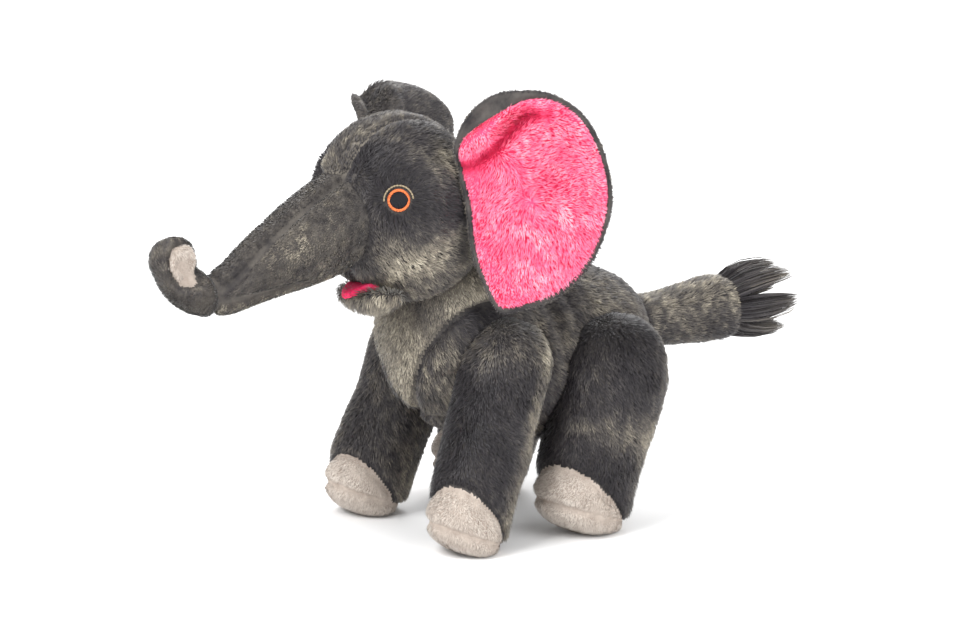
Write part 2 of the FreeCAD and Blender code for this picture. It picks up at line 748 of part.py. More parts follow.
def build_ear(side):
    word = "left" if side > 0 else "right"
    flare = size(f"{word}_ear_flare")
    lean = size(f"{word}_ear_lean")
    roll = Placement(Vector(0, size("skull_y"), size("skull_z")), Rotation(Y_AXIS, -size("head_roll")))
    # the sewn edge on the head, then the lean of that edge, then how far the ear stands out from the head
    edge = Placement(Vector(side * size("ear_edge_x"), size("ear_edge_y"), size(f"{word}_ear_lift")),
                     Rotation())
    leaned = Placement(Vector(0, 0, 0), Rotation(Y_AXIS, -side * lean))
    turn = Placement(Vector(0, 0, 0), Rotation(Z_AXIS, 90 - side * flare))
    placed = roll.multiply(edge).multiply(leaned).multiply(turn)
    insets = {"back": 0.0, "lining": size("ear_lining_inset")}
    for part, inset in insets.items():
        body = ear_layer(f"Ear{part.title()}{word.title()}", inset, cell(f"ear_{part}_thickness"))
        # a pad grows towards local -Y, which is the lining's side on the left ear and the back's on the right one
        is_behind_edge = (side > 0) == (part == "back")
        shift = size(f"ear_{part}_thickness") if is_behind_edge else 0.0
        spot = placed.multiply(Placement(Vector(0, shift, 0), Rotation()))
        body.Placement = spot
        body.Label = f"ear_{part}_{word}"
        bind(body, at(f"{spot.Base.x} + {cell('stand_x')}", f"{spot.Base.y} + {cell('stand_y')}",
                      str(spot.Base.z)))
        nodes.append(body)


# ---------------------------------------------------------------- tail

def tail_layer(layer, inset):
    root = doc.addObject("Part::Sphere", f"TailRoot_{layer}")
    bind(root, {"Radius": f"{cell('tail_root_radius')} - {inset}"})
    root.Angle2 = 0
    tube = doc.addObject("Part::Cone", f"TailTube_{layer}")
    bind(tube, {
        "Radius1": f"{cell('tail_root_radius')} - {inset}",
        "Radius2": f"{cell('tail_end_radius')} - {inset}",
        "Height": f"{cell('tail_length')} - {inset}",
    })
    return fuse(f"Tail_{layer}", [root, tube])


def build_tail():
    layers = {layer: tail_layer(layer, inset) for layer, inset in LAYERS.items()}
    along = Rotation(X_AXIS, -90 + size("tail_rise"))
    place = ("0", cell("tail_y"), cell("tail_z"))
    stand(cut("TailSleeve", layers["outer"], layers["cavity"]), "tail_sleeve", *place, along)
    stand(layers["filling"], "tail_stuffing", *place, along)
    tuft = doc.addObject("Part::Cone", "TailTuft")
    bind(tuft, {
        "Radius1": cell("tuft_root_radius"),
        "Radius2": cell("tuft_end_radius"),
        "Height": cell("tuft_length"),
    })
    tuft.Placement = Placement(Vector(0, 0, 0), along)
    direction = along.multVec(Z_AXIS)
    tuft.Label = "tail_tuft"
    bind(tuft, at(cell("stand_x"),
                  f"{cell('tail_y')} + {direction.y} * {cell('tail_length')} + {cell('stand_y')}",
                  f"{cell('tail_z')} + {direction.z} * {cell('tail_length')}"))
    nodes.append(tuft)


build_torso()
build_head()
build_trunk()
for side in (1, -1):
    build_ear(side)
for leg in ("front", "rear"):
    for side in (1, -1):
        build_leg(leg, side)
build_tail()
doc.recompute()

for thing in doc.Objects:
    if "Invalid" in thing.State or "Error" in thing.State:
        raise RuntimeError(f"{thing.Label}: {thing.State}")
box = FreeCAD.BoundBox()
os.makedirs("parts", exist_ok=True)
for node in nodes:
    shape = node.Shape
    if shape.isNull() or not shape.isValid() or shape.Volume <= 0:
        raise RuntimeError(f"{node.Label} has no valid solid")
    box.add(shape.optimalBoundingBox())
    shape.exportStep(f"parts/{node.Label}.step")
    print(f"{node.Label}: {len(shape.Solids)} solid, {shape.Volume / 1000:.1f} cm3, "
          f"lowest {shape.optimalBoundingBox().ZMin:.2f}")
print(f"{len(nodes)} nodes, X {box.XMin:.1f} to {box.XMax:.1f}, Y {box.YMin:.1f} to {box.YMax:.1f}, "
      f"Z {box.ZMin:.1f} to {box.ZMax:.1f}")
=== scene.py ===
import json
import math

import bpy
import numpy as np
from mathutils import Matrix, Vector
from mathutils.bvhtree import BVHTree


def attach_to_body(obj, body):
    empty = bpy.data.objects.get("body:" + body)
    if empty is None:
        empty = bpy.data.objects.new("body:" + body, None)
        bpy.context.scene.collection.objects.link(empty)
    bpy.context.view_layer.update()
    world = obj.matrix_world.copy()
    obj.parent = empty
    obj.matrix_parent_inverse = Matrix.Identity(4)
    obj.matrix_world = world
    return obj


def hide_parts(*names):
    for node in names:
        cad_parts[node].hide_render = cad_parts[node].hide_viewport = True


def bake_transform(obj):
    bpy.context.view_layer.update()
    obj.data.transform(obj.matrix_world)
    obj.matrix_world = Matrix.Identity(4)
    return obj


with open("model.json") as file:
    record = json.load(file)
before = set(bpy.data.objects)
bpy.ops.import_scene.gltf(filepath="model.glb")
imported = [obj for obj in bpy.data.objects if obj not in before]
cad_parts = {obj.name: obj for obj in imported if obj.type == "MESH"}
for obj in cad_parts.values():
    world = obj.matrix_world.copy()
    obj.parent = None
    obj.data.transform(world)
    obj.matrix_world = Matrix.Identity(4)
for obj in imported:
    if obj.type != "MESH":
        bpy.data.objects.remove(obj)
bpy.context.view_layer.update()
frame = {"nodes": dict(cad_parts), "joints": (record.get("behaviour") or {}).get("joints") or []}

MM = 0.001
JOINTS = {joint["name"]: np.array(joint["pos_m"], float) for joint in frame["joints"]}
HIP_PLACE = np.array((40.0, -24.0, 98.0)) * MM  # the front left hip on the animal's own axes
STAND = JOINTS["front_left_swing"] - HIP_PLACE
HEAD_ROLL = math.radians(-7.5)
VOXEL = 3.6 * MM
FLOOR_GAP = 0.3 * MM
CLOTH_FRAMES = 20
DENSITY = 1.0

scene = bpy.context.scene


# ---- places

def rows(points):
    return np.array(points, float).reshape(-1, 3)


def turn_about(axis, angle):
    """Rotation matrix about one of the three axes."""
    c, s = math.cos(angle), math.sin(angle)
    if axis == "X":
        return np.array(((1, 0, 0), (0, c, -s), (0, s, c)))
    if axis == "Y":
        return np.array(((c, 0, s), (0, 1, 0), (-s, 0, c)))
    return np.array(((c, -s, 0), (s, c, 0), (0, 0, 1)))


ROLL = turn_about("Y", HEAD_ROLL)


def at(x, y, z):
    """A point on the animal's own axes, in millimetres, in the frame."""
    return np.array((x, y, z)) * MM + STAND


def on_head(x, y, z):
    return ROLL @ (np.array((x, y, z)) * MM) + JOINTS["head_nod"]


def own(points):
    """Frame points as millimetres on the animal's own axes."""
    return (points - STAND) / MM


def head_own(points):
    return (points - JOINTS["head_nod"]) @ ROLL / MM


def unit(vectors):
    return vectors / np.maximum(np.linalg.norm(vectors, axis=-1, keepdims=True), 1e-12)


def ramp(values, start, end):
    t = np.clip((values - start) / (end - start), 0, 1)
    return t * t * (3 - 2 * t)


# ---- random fields

def lattice(cells, seed):
    """A steady random number from 0 to 1 for each whole-numbered cell."""
    c = cells.astype(np.int64)
    h = c[:, 0] * 73856093 ^ c[:, 1] * 19349663 ^ c[:, 2] * 83492791 ^ (seed + 1) * 2654435761
    h = (h ^ (h >> 13)) * 1274126177 & 0xFFFFFFFF
    h = (h ^ (h >> 16)) * 2246822519 & 0xFFFFFFFF
    return (h ^ (h >> 15)) % 1000003 / 1000003


def noise(points, cell, seed):
    """Smooth noise from 0 to 1; cell is one size or one for each axis."""
    p = points / (np.ones(3) * cell) + seed * 7.31
    base = np.floor(p)
    t = p - base
    t = t * t * (3 - 2 * t)
    total = np.zeros(len(p))
    for corner in np.ndindex(2, 2, 2):
        c = np.array(corner)
        share = np.prod(np.where(c == 1, t, 1 - t), axis=1)
        total += share * lattice(base + c, seed)
    return total


def nearest_tuft(points, cell, seed):
    """The nearest of a loose scatter of points, one in each cell."""
    base = np.floor(points / cell)
    best = np.full(len(points), 1e9)
    found = np.zeros_like(points)
    for step in np.ndindex(3, 3, 3):
        c = base + np.array(step) - 1
        spot = (c + np.stack([lattice(c, seed + k) for k in range(3)], axis=1)) * cell
        d = np.linalg.norm(points - spot, axis=1)
        closer = d < best
        best[closer] = d[closer]
        found[closer] = spot[closer]
    return found


# ---- meshes

def new_object(name, points, faces, smooth=True):
    mesh = bpy.data.meshes.new(name)
    mesh.from_pydata(np.asarray(points).tolist(), [], [list(map(int, f)) for f in faces])
    if smooth:
        mesh.shade_smooth()
    mesh.update()
    obj = bpy.data.objects.new(name, mesh)
    scene.collection.objects.link(obj)
    return obj


def mesh_arrays(mesh):
    points = np.zeros(len(mesh.vertices) * 3, np.float64)
    mesh.vertices.foreach_get("co", points)
    return points.reshape(-1, 3), [tuple(p.vertices) for p in mesh.polygons]


def through_modifier(points, faces, kind, **values):
    """The mesh after one modifier, as quads."""
    obj = new_object("working", points, faces)
    modifier = obj.modifiers.new(kind, kind)
    for key, value in values.items():
        setattr(modifier, key, value)
    graph = bpy.context.evaluated_depsgraph_get()
    made = bpy.data.meshes.new_from_object(obj.evaluated_get(graph))
    result = mesh_arrays(made)
    bpy.data.objects.remove(obj)
    bpy.data.meshes.remove(made)
    return result[0], np.array(result[1])


def ellipsoid(centre, halves, axes=np.eye(3), around=40, along=24):
    """A closed ball of quads and triangles; axes holds its own axes as columns."""
    points = [(0, 0, 1)]
    for i in range(1, along):
        tilt = math.pi * i / along
        for j in range(around):
            turn = 2 * math.pi * j / around
            points.append((math.sin(tilt) * math.cos(turn), math.sin(tilt) * math.sin(turn), math.cos(tilt)))
    points.append((0, 0, -1))
    last = len(points) - 1
    faces = []
    for j in range(around):
        k = (j + 1) % around
        faces.append((0, 1 + j, 1 + k))
        for i in range(along - 2):
            a = 1 + i * around
            faces.append((a + j, a + around + j, a + around + k, a + k))
        faces.append((last, last - around + k, last - around + j))
    local = rows(points) * np.array(halves) * MM
    return local @ np.asarray(axes).T + centre, faces


def node_mesh(name):
    return mesh_arrays(frame["nodes"][name].data)


def joined(shapes):
    points, faces, start = [], [], 0
    for p, f in shapes:
        points.append(p)
        faces += [tuple(v + start for v in face) for face in f]
        start += len(p)
    return np.vstack(points), faces


def edges_of(faces):
    pairs = np.vstack([np.stack([faces[:, i], faces[:, (i + 1) % 4]], axis=1) for i in range(4)])
    return np.unique(np.sort(pairs, axis=1), axis=0)


def spread(values, edges, rounds, pull=0.5):
    """Values evened out over the mesh's edges."""
    count = len(values)
    ends = np.concatenate([edges[:, 0], edges[:, 1]])
    others = np.concatenate([edges[:, 1], edges[:, 0]])
    weight = np.maximum(np.bincount(ends, minlength=count), 1)
    values = values.copy()
    columns = values.reshape(count, -1)
    for _ in range(rounds):
        for k in range(columns.shape[1]):
            mean = np.bincount(ends, columns[others, k], count) / weight
            columns[:, k] += pull * (mean - columns[:, k])
    return columns.reshape(values.shape)


def corner_normals(points, faces):
    a, b = points[faces[:, 2]] - points[faces[:, 0]], points[faces[:, 3]] - points[faces[:, 1]]
    flat = np.cross(a, b)
    total = np.zeros_like(points)
    for k in range(3):
        for corner in range(4):
            total[:, k] += np.bincount(faces[:, corner], flat[:, k], len(points))
    return unit(total)


def scatter(points, faces, per_mm2, rng):
    """Evenly scattered places on quads: the three corners round each, and their weights."""
    tris = np.vstack([faces[:, (0, 1, 2)], faces[:, (0, 2, 3)]])
    p = points[tris]
    areas = np.linalg.norm(np.cross(p[:, 1] - p[:, 0], p[:, 2] - p[:, 0]), axis=1) / 2
    total = int(per_mm2 * areas.sum() / MM ** 2)
    pick = rng.choice(len(tris), total, p=areas / areas.sum())
    u, v = rng.random(total), rng.random(total)
    over = u + v > 1
    u[over], v[over] = 1 - u[over], 1 - v[over]
    return tris[pick], np.stack([1 - u - v, u, v], axis=1)


def weighted(values, corners, weights):
    """Values at scattered places."""
    return (values[corners] * weights.reshape(weights.shape + (1,) * (values.ndim - 1))).sum(axis=1)


def stuffed(points, faces, cap):
    """The bag after filling presses its cover outwards; no point moves further than cap."""
    obj = new_object("working", points, faces)
    cloth = obj.modifiers.new("stuffing", "CLOTH")
    cloth.settings.quality = 4
    cloth.settings.mass = 0.15
    cloth.settings.bending_stiffness = 0.3
    cloth.settings.use_pressure = True
    cloth.settings.uniform_pressure_force = 4.0
    cloth.settings.effector_weights.gravity = 0.0
    cloth.point_cache.frame_start = 1
    cloth.point_cache.frame_end = CLOTH_FRAMES
    for step in range(1, CLOTH_FRAMES + 1):
        scene.frame_set(step)
    graph = bpy.context.evaluated_depsgraph_get()
    moved, _ = mesh_arrays(obj.evaluated_get(graph).data)
    bpy.data.objects.remove(obj)
    scene.frame_set(1)
    shift = moved - points
    reach = np.maximum(np.linalg.norm(shift, axis=1, keepdims=True), 1e-9)
    return points + shift * np.minimum(1, cap / reach)


class Bag:
    """One stuffed member's skin: quads, normals and how far each point is from each of its CAD panels."""

    def __init__(self, shapes, panels, cap=4.2 * MM, lumps=1.2, voxel=VOXEL, seed=0, groove=2.2, shape=None,
                 grow=1.2, bare=0.5):
        points, faces = through_modifier(*joined(shapes), "REMESH", mode="VOXEL", voxel_size=voxel)
        edges = edges_of(faces)
        points = spread(points, edges, 8)
        points = stuffed(points, faces, cap)
        points = spread(points, edges, 2)
        points, faces = through_modifier(points, faces, "SUBSURF", levels=1, render_levels=1)
        normals = corner_normals(points, faces)
        # hand stuffing is never quite even
        bumps = noise(points, 26 * MM, seed) + 0.5 * noise(points, 12 * MM, seed + 3) - 0.75
        points = points + normals * ((bumps * lumps * 2 + grow) * MM)[:, None]
        if shape:
            points = shape(points, corner_normals(points, faces))
        graph = bpy.context.evaluated_depsgraph_get()
        self.panels, self.bare = panels, bare * MM
        self.away = np.zeros((len(points), len(panels)))
        for column, panel in enumerate(panels):
            tree = BVHTree.FromObject(frame["nodes"][panel], graph)
            self.away[:, column] = [tree.find_nearest(p)[3] for p in points.tolist()]
        edges = edges_of(faces)
        self.away = spread(self.away, edges, 2)
        self.seam = self.seam_gap(self.away)
        if len(panels) > 1:
            dip = groove * np.exp(-(self.seam / (2.6 * MM)) ** 2)
            points = points - corner_normals(points, faces) * (dip * MM)[:, None]
        points[:, 2] = np.maximum(points[:, 2], FLOOR_GAP)
        self.points, self.faces = points, faces
        self.normals = corner_normals(points, faces)
        self.hidden = np.full(len(points), -1.0)
        self.tree = BVHTree.FromPolygons(points.tolist(), faces.tolist())

    @staticmethod
    def seam_gap(away):
        """How far a point is from the line where its two nearest panels meet."""
        if away.shape[1] < 2:
            return np.full(len(away), 1.0)
        near = np.sort(away, axis=1)
        return near[:, 1] - near[:, 0]

    def hide_inside(self, *others):
        """Notes how deep each point lies inside the other bags, where no pile is needed."""
        for other in others:
            for i, p in enumerate(self.points.tolist()):
                place, normal, _, far = other.tree.find_nearest(p)
                if far < 0.03:
                    depth = far if (Vector(p) - place).dot(normal) < 0 else -far
                    self.hidden[i] = max(self.hidden[i], depth)
        return self

    def panel_faces(self, panel):
        middle = self.away[self.faces].mean(axis=1)
        return self.faces[np.argmin(middle, axis=1) == self.panels.index(panel)]

    def sample(self, per_mm2, rng, panel):
        """Evenly scattered places on one panel, with their normals and distance from the nearest crease."""
        faces = self.faces
        column = self.panels.index(panel)
        others = np.delete(self.away[faces], column, axis=2)
        if others.shape[2]:
            near = self.away[faces][:, :, column].min(axis=1) <= others.min(axis=(1, 2)) + 2 * MM
            faces = faces[near]
        places = scatter(self.points, faces, per_mm2, rng)
        away, hidden = weighted(self.away, *places), weighted(self.hidden, *places)
        gap = self.seam_gap(away)
        keep = (np.argmin(away, axis=1) == column) & (hidden < 3.0 * MM) & (gap > self.bare)
        crease = np.minimum(gap, 1.2 * np.abs(hidden))
        roots, normals = weighted(self.points, *places), unit(weighted(self.normals, *places))
        return roots[keep], normals[keep], crease[keep]


# ---- materials

def rgb(*values):
    """A screen colour from 0 to 255 as linear light."""
    return tuple(c / 12.92 if c <= 0.04045 else ((c + 0.055) / 1.055) ** 2.4 for c in (v / 255 for v in values))


def between(stops, share):
    """The colour at a share from 0 to 1 along evenly spaced stops."""
    place = share * (len(stops) - 1)
    low = min(int(place), len(stops) - 2)
    t = place - low
    return tuple(a + (b - a) * t for a, b in zip(stops[low], stops[low + 1]))


def principled(name, colour, roughness, sheen, sheen_tint=(1, 1, 1)):
    material = bpy.data.materials.new(name)
    material.use_nodes = True
    shader = material.node_tree.nodes["Principled BSDF"]
    shader.inputs["Base Color"].default_value = (*colour, 1)
    shader.inputs["Roughness"].default_value = roughness
    shader.inputs["Sheen Weight"].default_value = sheen
    shader.inputs["Sheen Roughness"].default_value = 0.4
    shader.inputs["Sheen Tint"].default_value = (*sheen_tint, 1)
    shader.inputs["Specular IOR Level"].default_value = 0.35
    return material, shader


def coloured(material, shader, pattern, height, stops, strength, depth):
    """One pattern through a colour ramp to the base colour, and one to the bump."""
    nodes, links = material.node_tree.nodes, material.node_tree.links
    tones = nodes.new("ShaderNodeValToRGB")
    for element, (position, colour) in zip(tones.color_ramp.elements, stops):
        element.position = position
        element.color = (*colour, 1)
    relief = nodes.new("ShaderNodeBump")
    relief.inputs["Strength"].default_value = strength
    relief.inputs["Distance"].default_value = depth
    links.new(pattern.outputs["Fac"], tones.inputs["Fac"])
    links.new(tones.outputs["Color"], shader.inputs["Base Color"])
    links.new(height.outputs["Fac"], relief.inputs["Height"])
    links.new(relief.outputs["Normal"], shader.inputs["Normal"])


def backing(name, dark, light, scale, bump=0.3):
    """Knitted pile seen at its roots: two mottled tones and a fine nap."""
    material, shader = principled(name, dark, 0.85, 0.2, light)
    nodes, links = material.node_tree.nodes, material.node_tree.links
    place = nodes.new("ShaderNodeTexCoord")
    mottle = nodes.new("ShaderNodeTexNoise")
    mottle.inputs["Scale"].default_value = scale
    mottle.inputs["Detail"].default_value = 6
    mottle.inputs["Roughness"].default_value = 0.65
    nap = nodes.new("ShaderNodeTexNoise")
    nap.inputs["Scale"].default_value = 1400
    nap.inputs["Detail"].default_value = 3
    links.new(place.outputs["Object"], mottle.inputs["Vector"])
    links.new(place.outputs["Object"], nap.inputs["Vector"])
    coloured(material, shader, mottle, nap, ((0.35, dark), (0.68, light)), bump, 0.0006)
    return material


def dye_and_shade_steps(name, stops, steps, roughness=0.5, sheen=0.25, sheen_tint=(1, 1, 1)):
    """Pile fibres in even steps from the darkest to the lightest dye; the steps also carry painted shade and painted
    highlight.
    """
    made = []
    for step in range(steps):
        colour = between(stops, step / (steps - 1))
        made.append(principled(f"{name}_{step}", colour, roughness, sheen, sheen_tint)[0])
    return made


GREY_STOPS = [rgb(22, 18, 23), rgb(38, 34, 38), rgb(62, 58, 58), rgb(96, 90, 83), rgb(142, 134, 119),
              rgb(196, 187, 168)]
PINK_STOPS = [rgb(222, 36, 84), rgb(244, 72, 118), rgb(252, 108, 148), rgb(255, 150, 178), rgb(255, 198, 212)]
BEIGE_STOPS = [rgb(158, 146, 136), rgb(186, 174, 164), rgb(208, 198, 188), rgb(230, 222, 212)]

grey_fibres = dye_and_shade_steps("grey_fibre", GREY_STOPS, 12)
pink_fibres = dye_and_shade_steps("pink_fibre", PINK_STOPS, 8, 0.55, 0.3, rgb(255, 200, 215))
beige_fibres = dye_and_shade_steps("beige_fibre", BEIGE_STOPS, 6, 0.6, 0.3)

grey_backing = backing("grey_backing", rgb(30, 28, 31), rgb(78, 74, 71), 55)
light_backing = backing("light_backing", rgb(78, 74, 70), rgb(128, 121, 110), 60)
trunk_backing = backing("trunk_backing", rgb(52, 49, 49), rgb(92, 87, 81), 90)
pink_backing = backing("pink_backing", rgb(190, 24, 66), rgb(235, 70, 112), 80)
beige_backing = backing("beige_backing", rgb(150, 137, 127), rgb(188, 176, 165), 110)
felt = backing("pink_felt", rgb(226, 30, 84), rgb(246, 70, 118), 300, bump=0.6)


def thread(name, colour, light):
    """Shiny embroidery thread with twisted plies, whose raised crests are painted lighter as a painted highlight."""
    material, shader = principled(name, colour, 0.6, 0.0)
    shader.inputs["Specular IOR Level"].default_value = 0.2
    nodes, links = material.node_tree.nodes, material.node_tree.links
    place = nodes.new("ShaderNodeTexCoord")
    plies = nodes.new("ShaderNodeTexWave")
    plies.inputs["Scale"].default_value = 900
    plies.inputs["Distortion"].default_value = 2
    links.new(place.outputs["Object"], plies.inputs["Vector"])
    # the ply pattern drives the bump and the colour alike: the crests take the lighter colour, a painted highlight
    coloured(material, shader, plies, plies, ((0, colour), (1, light)), 0.5, 0.0002)
    return material


threads = {colour: thread(f"{colour}_thread", dark, light) for colour, dark, light in (
    ("black", rgb(10, 10, 14), rgb(38, 38, 44)), ("copper", rgb(196, 84, 40), rgb(240, 140, 86)),
    ("beige", rgb(120, 108, 88), rgb(166, 152, 126)))}


# ---- pile

def combed(normals, direction):
    """The part of a direction that lies along the surface."""
    direction = np.broadcast_to(direction, normals.shape)
    return unit(direction - (direction * normals).sum(axis=1, keepdims=True) * normals)


def ribbons(spine, across, half, tapers):
    """Two edge points at each step of every fibre, and one at its tip."""
    points = np.zeros((len(half), 2 * len(tapers) + 1, 3))
    for step, taper in enumerate(tapers):
        points[:, 2 * step] = spine[step] - across * (half * taper)[:, None]
        points[:, 2 * step + 1] = spine[step] + across * (half * taper)[:, None]
    points[:, -1] = spine[-1]
    return points


def pile(name, roots, normals, flow, tone, fibres, length, width, lean, rng, clump=0.35, tuft=2.2, seam=None,
         curl=0.2, root_shade=0.14, steps=2):
    """A mesh of tapering fibres. Length and width are millimetres; lean is the angle from upright."""
    count = len(roots)
    length = np.ones(count) * length * MM * rng.uniform(0.75, 1.15, count)
    if seam is not None:  # the needle holds the pile down along a seam
        length *= 0.35 + 0.65 * ramp(seam, 0.3 * MM, 3.5 * MM)
        # painted shade: fibres darken along seams and where one bag meets another, standing in for the shadow in the
        # crease
        tone = tone - 0.4 * np.exp(-(seam / (1.6 * MM)) ** 2)
    flow = combed(normals, flow)
    side = np.cross(normals, flow)
    swirl = rng.normal(0, curl, count) + (noise(roots, 11 * MM, 21) - 0.5) * 0.9
    flow = flow * np.cos(swirl)[:, None] + side * np.sin(swirl)[:, None]
    side = np.cross(normals, flow)
    tilt = np.radians(lean + rng.normal(0, 7, count) + (noise(roots, 6 * MM, 22) - 0.5) * 20)
    spine = [roots - normals * 0.3 * MM]
    for step in range(steps):
        bend = tilt * (0.55 + 0.75 * (step + 0.5) / steps)
        spine.append(spine[-1] + (normals * np.cos(bend)[:, None] + flow * np.sin(bend)[:, None])
                     * (length / steps)[:, None])
    gather = nearest_tuft(roots + flow * length.mean() * 0.6, tuft * MM, 31) - roots - flow * length.mean() * 0.6
    gather -= (gather * normals).sum(axis=1, keepdims=True) * normals
    for step in range(1, steps + 1):
        spine[step] = spine[step] + gather * clump * (step / steps) ** 1.5
        spine[step][:, 2] = np.maximum(spine[step][:, 2], 0.2 * MM)
    roll = rng.normal(0, 0.45, count)
    along = unit(spine[1] - spine[0])
    facing = unit(np.cross(along, side))
    across = side * np.cos(roll)[:, None] + facing * np.sin(roll)[:, None]
    half = (width * MM / 2) * rng.uniform(0.7, 1.3, count)
    rows_per = 2 * steps + 1
    points = ribbons(spine, across, half, [1 - 0.25 * step / max(steps - 1, 1) for step in range(steps)])
    start = (np.arange(count) * rows_per)[:, None]
    quads = [start + np.array((2 * s + 1, 2 * s, 2 * s + 2, 2 * s + 3)) for s in range(steps - 1)]
    tip = start + np.array((2 * steps - 1, 2 * steps - 2, 2 * steps))
    loops = np.hstack(quads + [tip]).ravel()
    sizes = np.tile(np.array([4] * (steps - 1) + [3]), count)
    last = len(fibres) - 1
    shades = []
    jitter = rng.normal(0, 0.06, count)
    # each fibre's root face takes a darker step than its tip: partly the dark base of tipped plush, partly painted
    # shade for the depth of the pile
    for step in range(steps):
        lift = -root_shade + (root_shade + 0.1) * (step + 0.6) / steps
        shades.append(np.clip(np.round((tone + jitter + lift) * last), 0, last))
    mesh = bpy.data.meshes.new(name)
    mesh.vertices.add(count * rows_per)
    mesh.vertices.foreach_set("co", points.astype(np.float32).ravel())
    mesh.loops.add(len(loops))
    mesh.loops.foreach_set("vertex_index", loops.astype(np.int32))
    mesh.polygons.add(len(sizes))
    mesh.polygons.foreach_set("loop_start", np.concatenate([[0], np.cumsum(sizes)[:-1]]).astype(np.int32))
    mesh.polygons.foreach_set("material_index", np.stack(shades, axis=1).ravel().astype(np.int32))
    for fibre in fibres:
        mesh.materials.append(fibre)
    mesh.update(calc_edges=True)
    mesh.shade_smooth()
    soft = unit(normals * 0.8 + facing * 0.3 + rng.normal(0, 0.16, (count, 3)))
    mesh.normals_split_custom_set_from_vertices(np.repeat(soft, rows_per, axis=0).tolist())
    obj = bpy.data.objects.new(name, mesh)
    scene.collection.objects.link(obj)
    return obj


def attach(obj, body, nodes, blend=None):
    """Puts a piece on its body, or with a blend leaves it unparented with its placement baked into its mesh, and
    hides the CAD parts it stands for.
    """
    if blend:
        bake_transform(obj)
    else:
        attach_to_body(obj, body)
    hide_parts(*nodes)
    return obj


def cover(bag, panel, material):
    """One cover panel's skin."""
    faces = bag.panel_faces(panel)
    used, index = np.unique(faces, return_inverse=True)
    obj = new_object(f"{panel}_cover", bag.points[used] - bag.normals[used] * 0.3 * MM, index.reshape(faces.shape))
    obj.data.materials.append(material)
    return obj


def dress(bag, panel, body, style, tone, flow, seed, stands_for=(), blend=None, bald=None):
    """A panel's skin and its pile. style is (skin material, fibres, per mm2, length, width, lean, clump)."""
    material, fibres, density, length, width, lean, clump = style
    rng = np.random.default_rng(seed)
    skin = cover(bag, panel, material)
    attach(skin, body, [panel, *stands_for], blend)
    roots, normals, seam = bag.sample(density * DENSITY, rng, panel)
    if bald is not None:
        keep = bald(roots)
        roots, normals, seam = roots[keep], normals[keep], seam[keep]
    wide = width / math.sqrt(DENSITY)
    fur = pile(f"{panel}_pile", roots, normals, flow(roots, normals), tone(roots, normals), fibres, length, wide,
               lean, rng, clump, seam=seam)
    attach(fur, body, [panel], blend)
    return skin, fur


LONG = (grey_backing, grey_fibres, 2.0, 3.7, 0.46, 64, 0.2)
SOFT = (light_backing, grey_fibres, 2.0, 3.2, 0.46, 62, 0.2)
SHEARED = (trunk_backing, grey_fibres, 2.6, 1.8, 0.36, 56, 0.16)
SUEDE = (beige_backing, beige_fibres, 2.8, 1.6, 0.34, 52, 0.2)
PINK = (pink_backing, pink_fibres, 2.0, 3.8, 0.46, 58, 0.3)


def mottled(points, level, depth=0.75, size=24, flecks=0.45, seed=5, stretch=(1, 1, 1.8)):
    """The uneven tone of tipped plush: broad clouds and short flecks."""
    clouds = noise(points, size * MM * np.array(stretch), seed) * 0.65
    clouds += noise(points, size * 0.45 * MM * np.array(stretch), seed + 1) * 0.35
    fine = noise(points, np.array((2.6, 2.6, 4.0)) * MM, seed + 2)
    return level + depth * (clouds - 0.5) + flecks * (fine - 0.5) * (0.35 + clouds)


def spots(places, *marks):
    """Soft lighter or darker places: each mark is (x, y, z, radius, change) in millimetres."""
    total = np.zeros(len(places))
    for x, y, z, radius, change in marks:
        gap = np.linalg.norm(places - np.array((x, y, z)), axis=1)
        total += change * np.exp(-(gap / radius) ** 2)
    return total


def drift(*direction):
    """A combing direction that wanders a little from place to place."""
    base = np.array(direction, float)

    def flow(points, normals):
        wander = np.stack([noise(points, 34 * MM, s) for s in (41, 42, 43)], axis=1) - 0.5
        return unit(base) + wander * 0.7
    return flow


# ---- body

def torso_shape(points, normals):
    """Slack folds in the flank between shoulder and thigh."""
    p = own(points)
    window = np.exp(-((p[:, 1] - 8) / 13) ** 2) * np.exp(-((p[:, 2] - 112) / 30) ** 2)
    folds = np.cos((p[:, 1] + 0.22 * (p[:, 2] - 110)) * 2 * math.pi / 15)
    return points + normals * (window * (folds * 2.2 - 0.6) * MM)[:, None]


torso = Bag(
    [ellipsoid(at(0, 14, 92), (50.6, 76.6, 48.6)),
     ellipsoid(at(0, -32, 112), (38.6, 40.6, 52.6)),
     ellipsoid(at(0, -14, 112), (42, 40, 42))],
    ["chest_panel", "belly_panel", "torso_side_left", "torso_side_right"],
    seed=1, lumps=1.4, shape=torso_shape, groove=3.0, bare=0.8)

neck_axis = np.array((0, 0.5, -0.866))
head = Bag(
    [ellipsoid(on_head(0, 0, 0), (40.6, 44.6, 48.6), ROLL), node_mesh("head_stuffing")],
    ["head_gusset", "head_side_left", "head_side_right"], seed=2, lumps=1.0)

trunk = Bag([node_mesh("trunk_stuffing")],
            ["trunk_side_left", "trunk_side_right", "trunk_top_strip", "trunk_under_strip", "trunk_tip_sleeve",
             "trunk_tip_disc"], seed=3, lumps=0.5, voxel=2.6 * MM, cap=3.6 * MM, groove=3.4, grow=1.0, bare=1.1)


def tail_shape(points, normals):
    """The sleeve widens towards its tuft."""
    along = (points - JOINTS["tail_wag"])[:, 1] / MM
    return points + normals * (3.6 * ramp(along, 8, 56) * MM)[:, None]


tail = Bag([node_mesh("tail_stuffing")], ["tail_sleeve"], seed=4, lumps=0.6, voxel=3 * MM, cap=3.8 * MM,
           shape=tail_shape)


def foot_shape(points, normals):
    """The sole is pressed flat on the ground."""
    height = points[:, 2]
    low = 1 - ramp(height, 5 * MM, 26 * MM)
    settled = height - low * (height.min() - FLOOR_GAP)
    flat = FLOOR_GAP + np.maximum(settled - 1.8 * MM, 0) * 1.1
    points[:, 2] = np.where(settled < 12 * MM, np.minimum(settled, flat), settled)
    return points


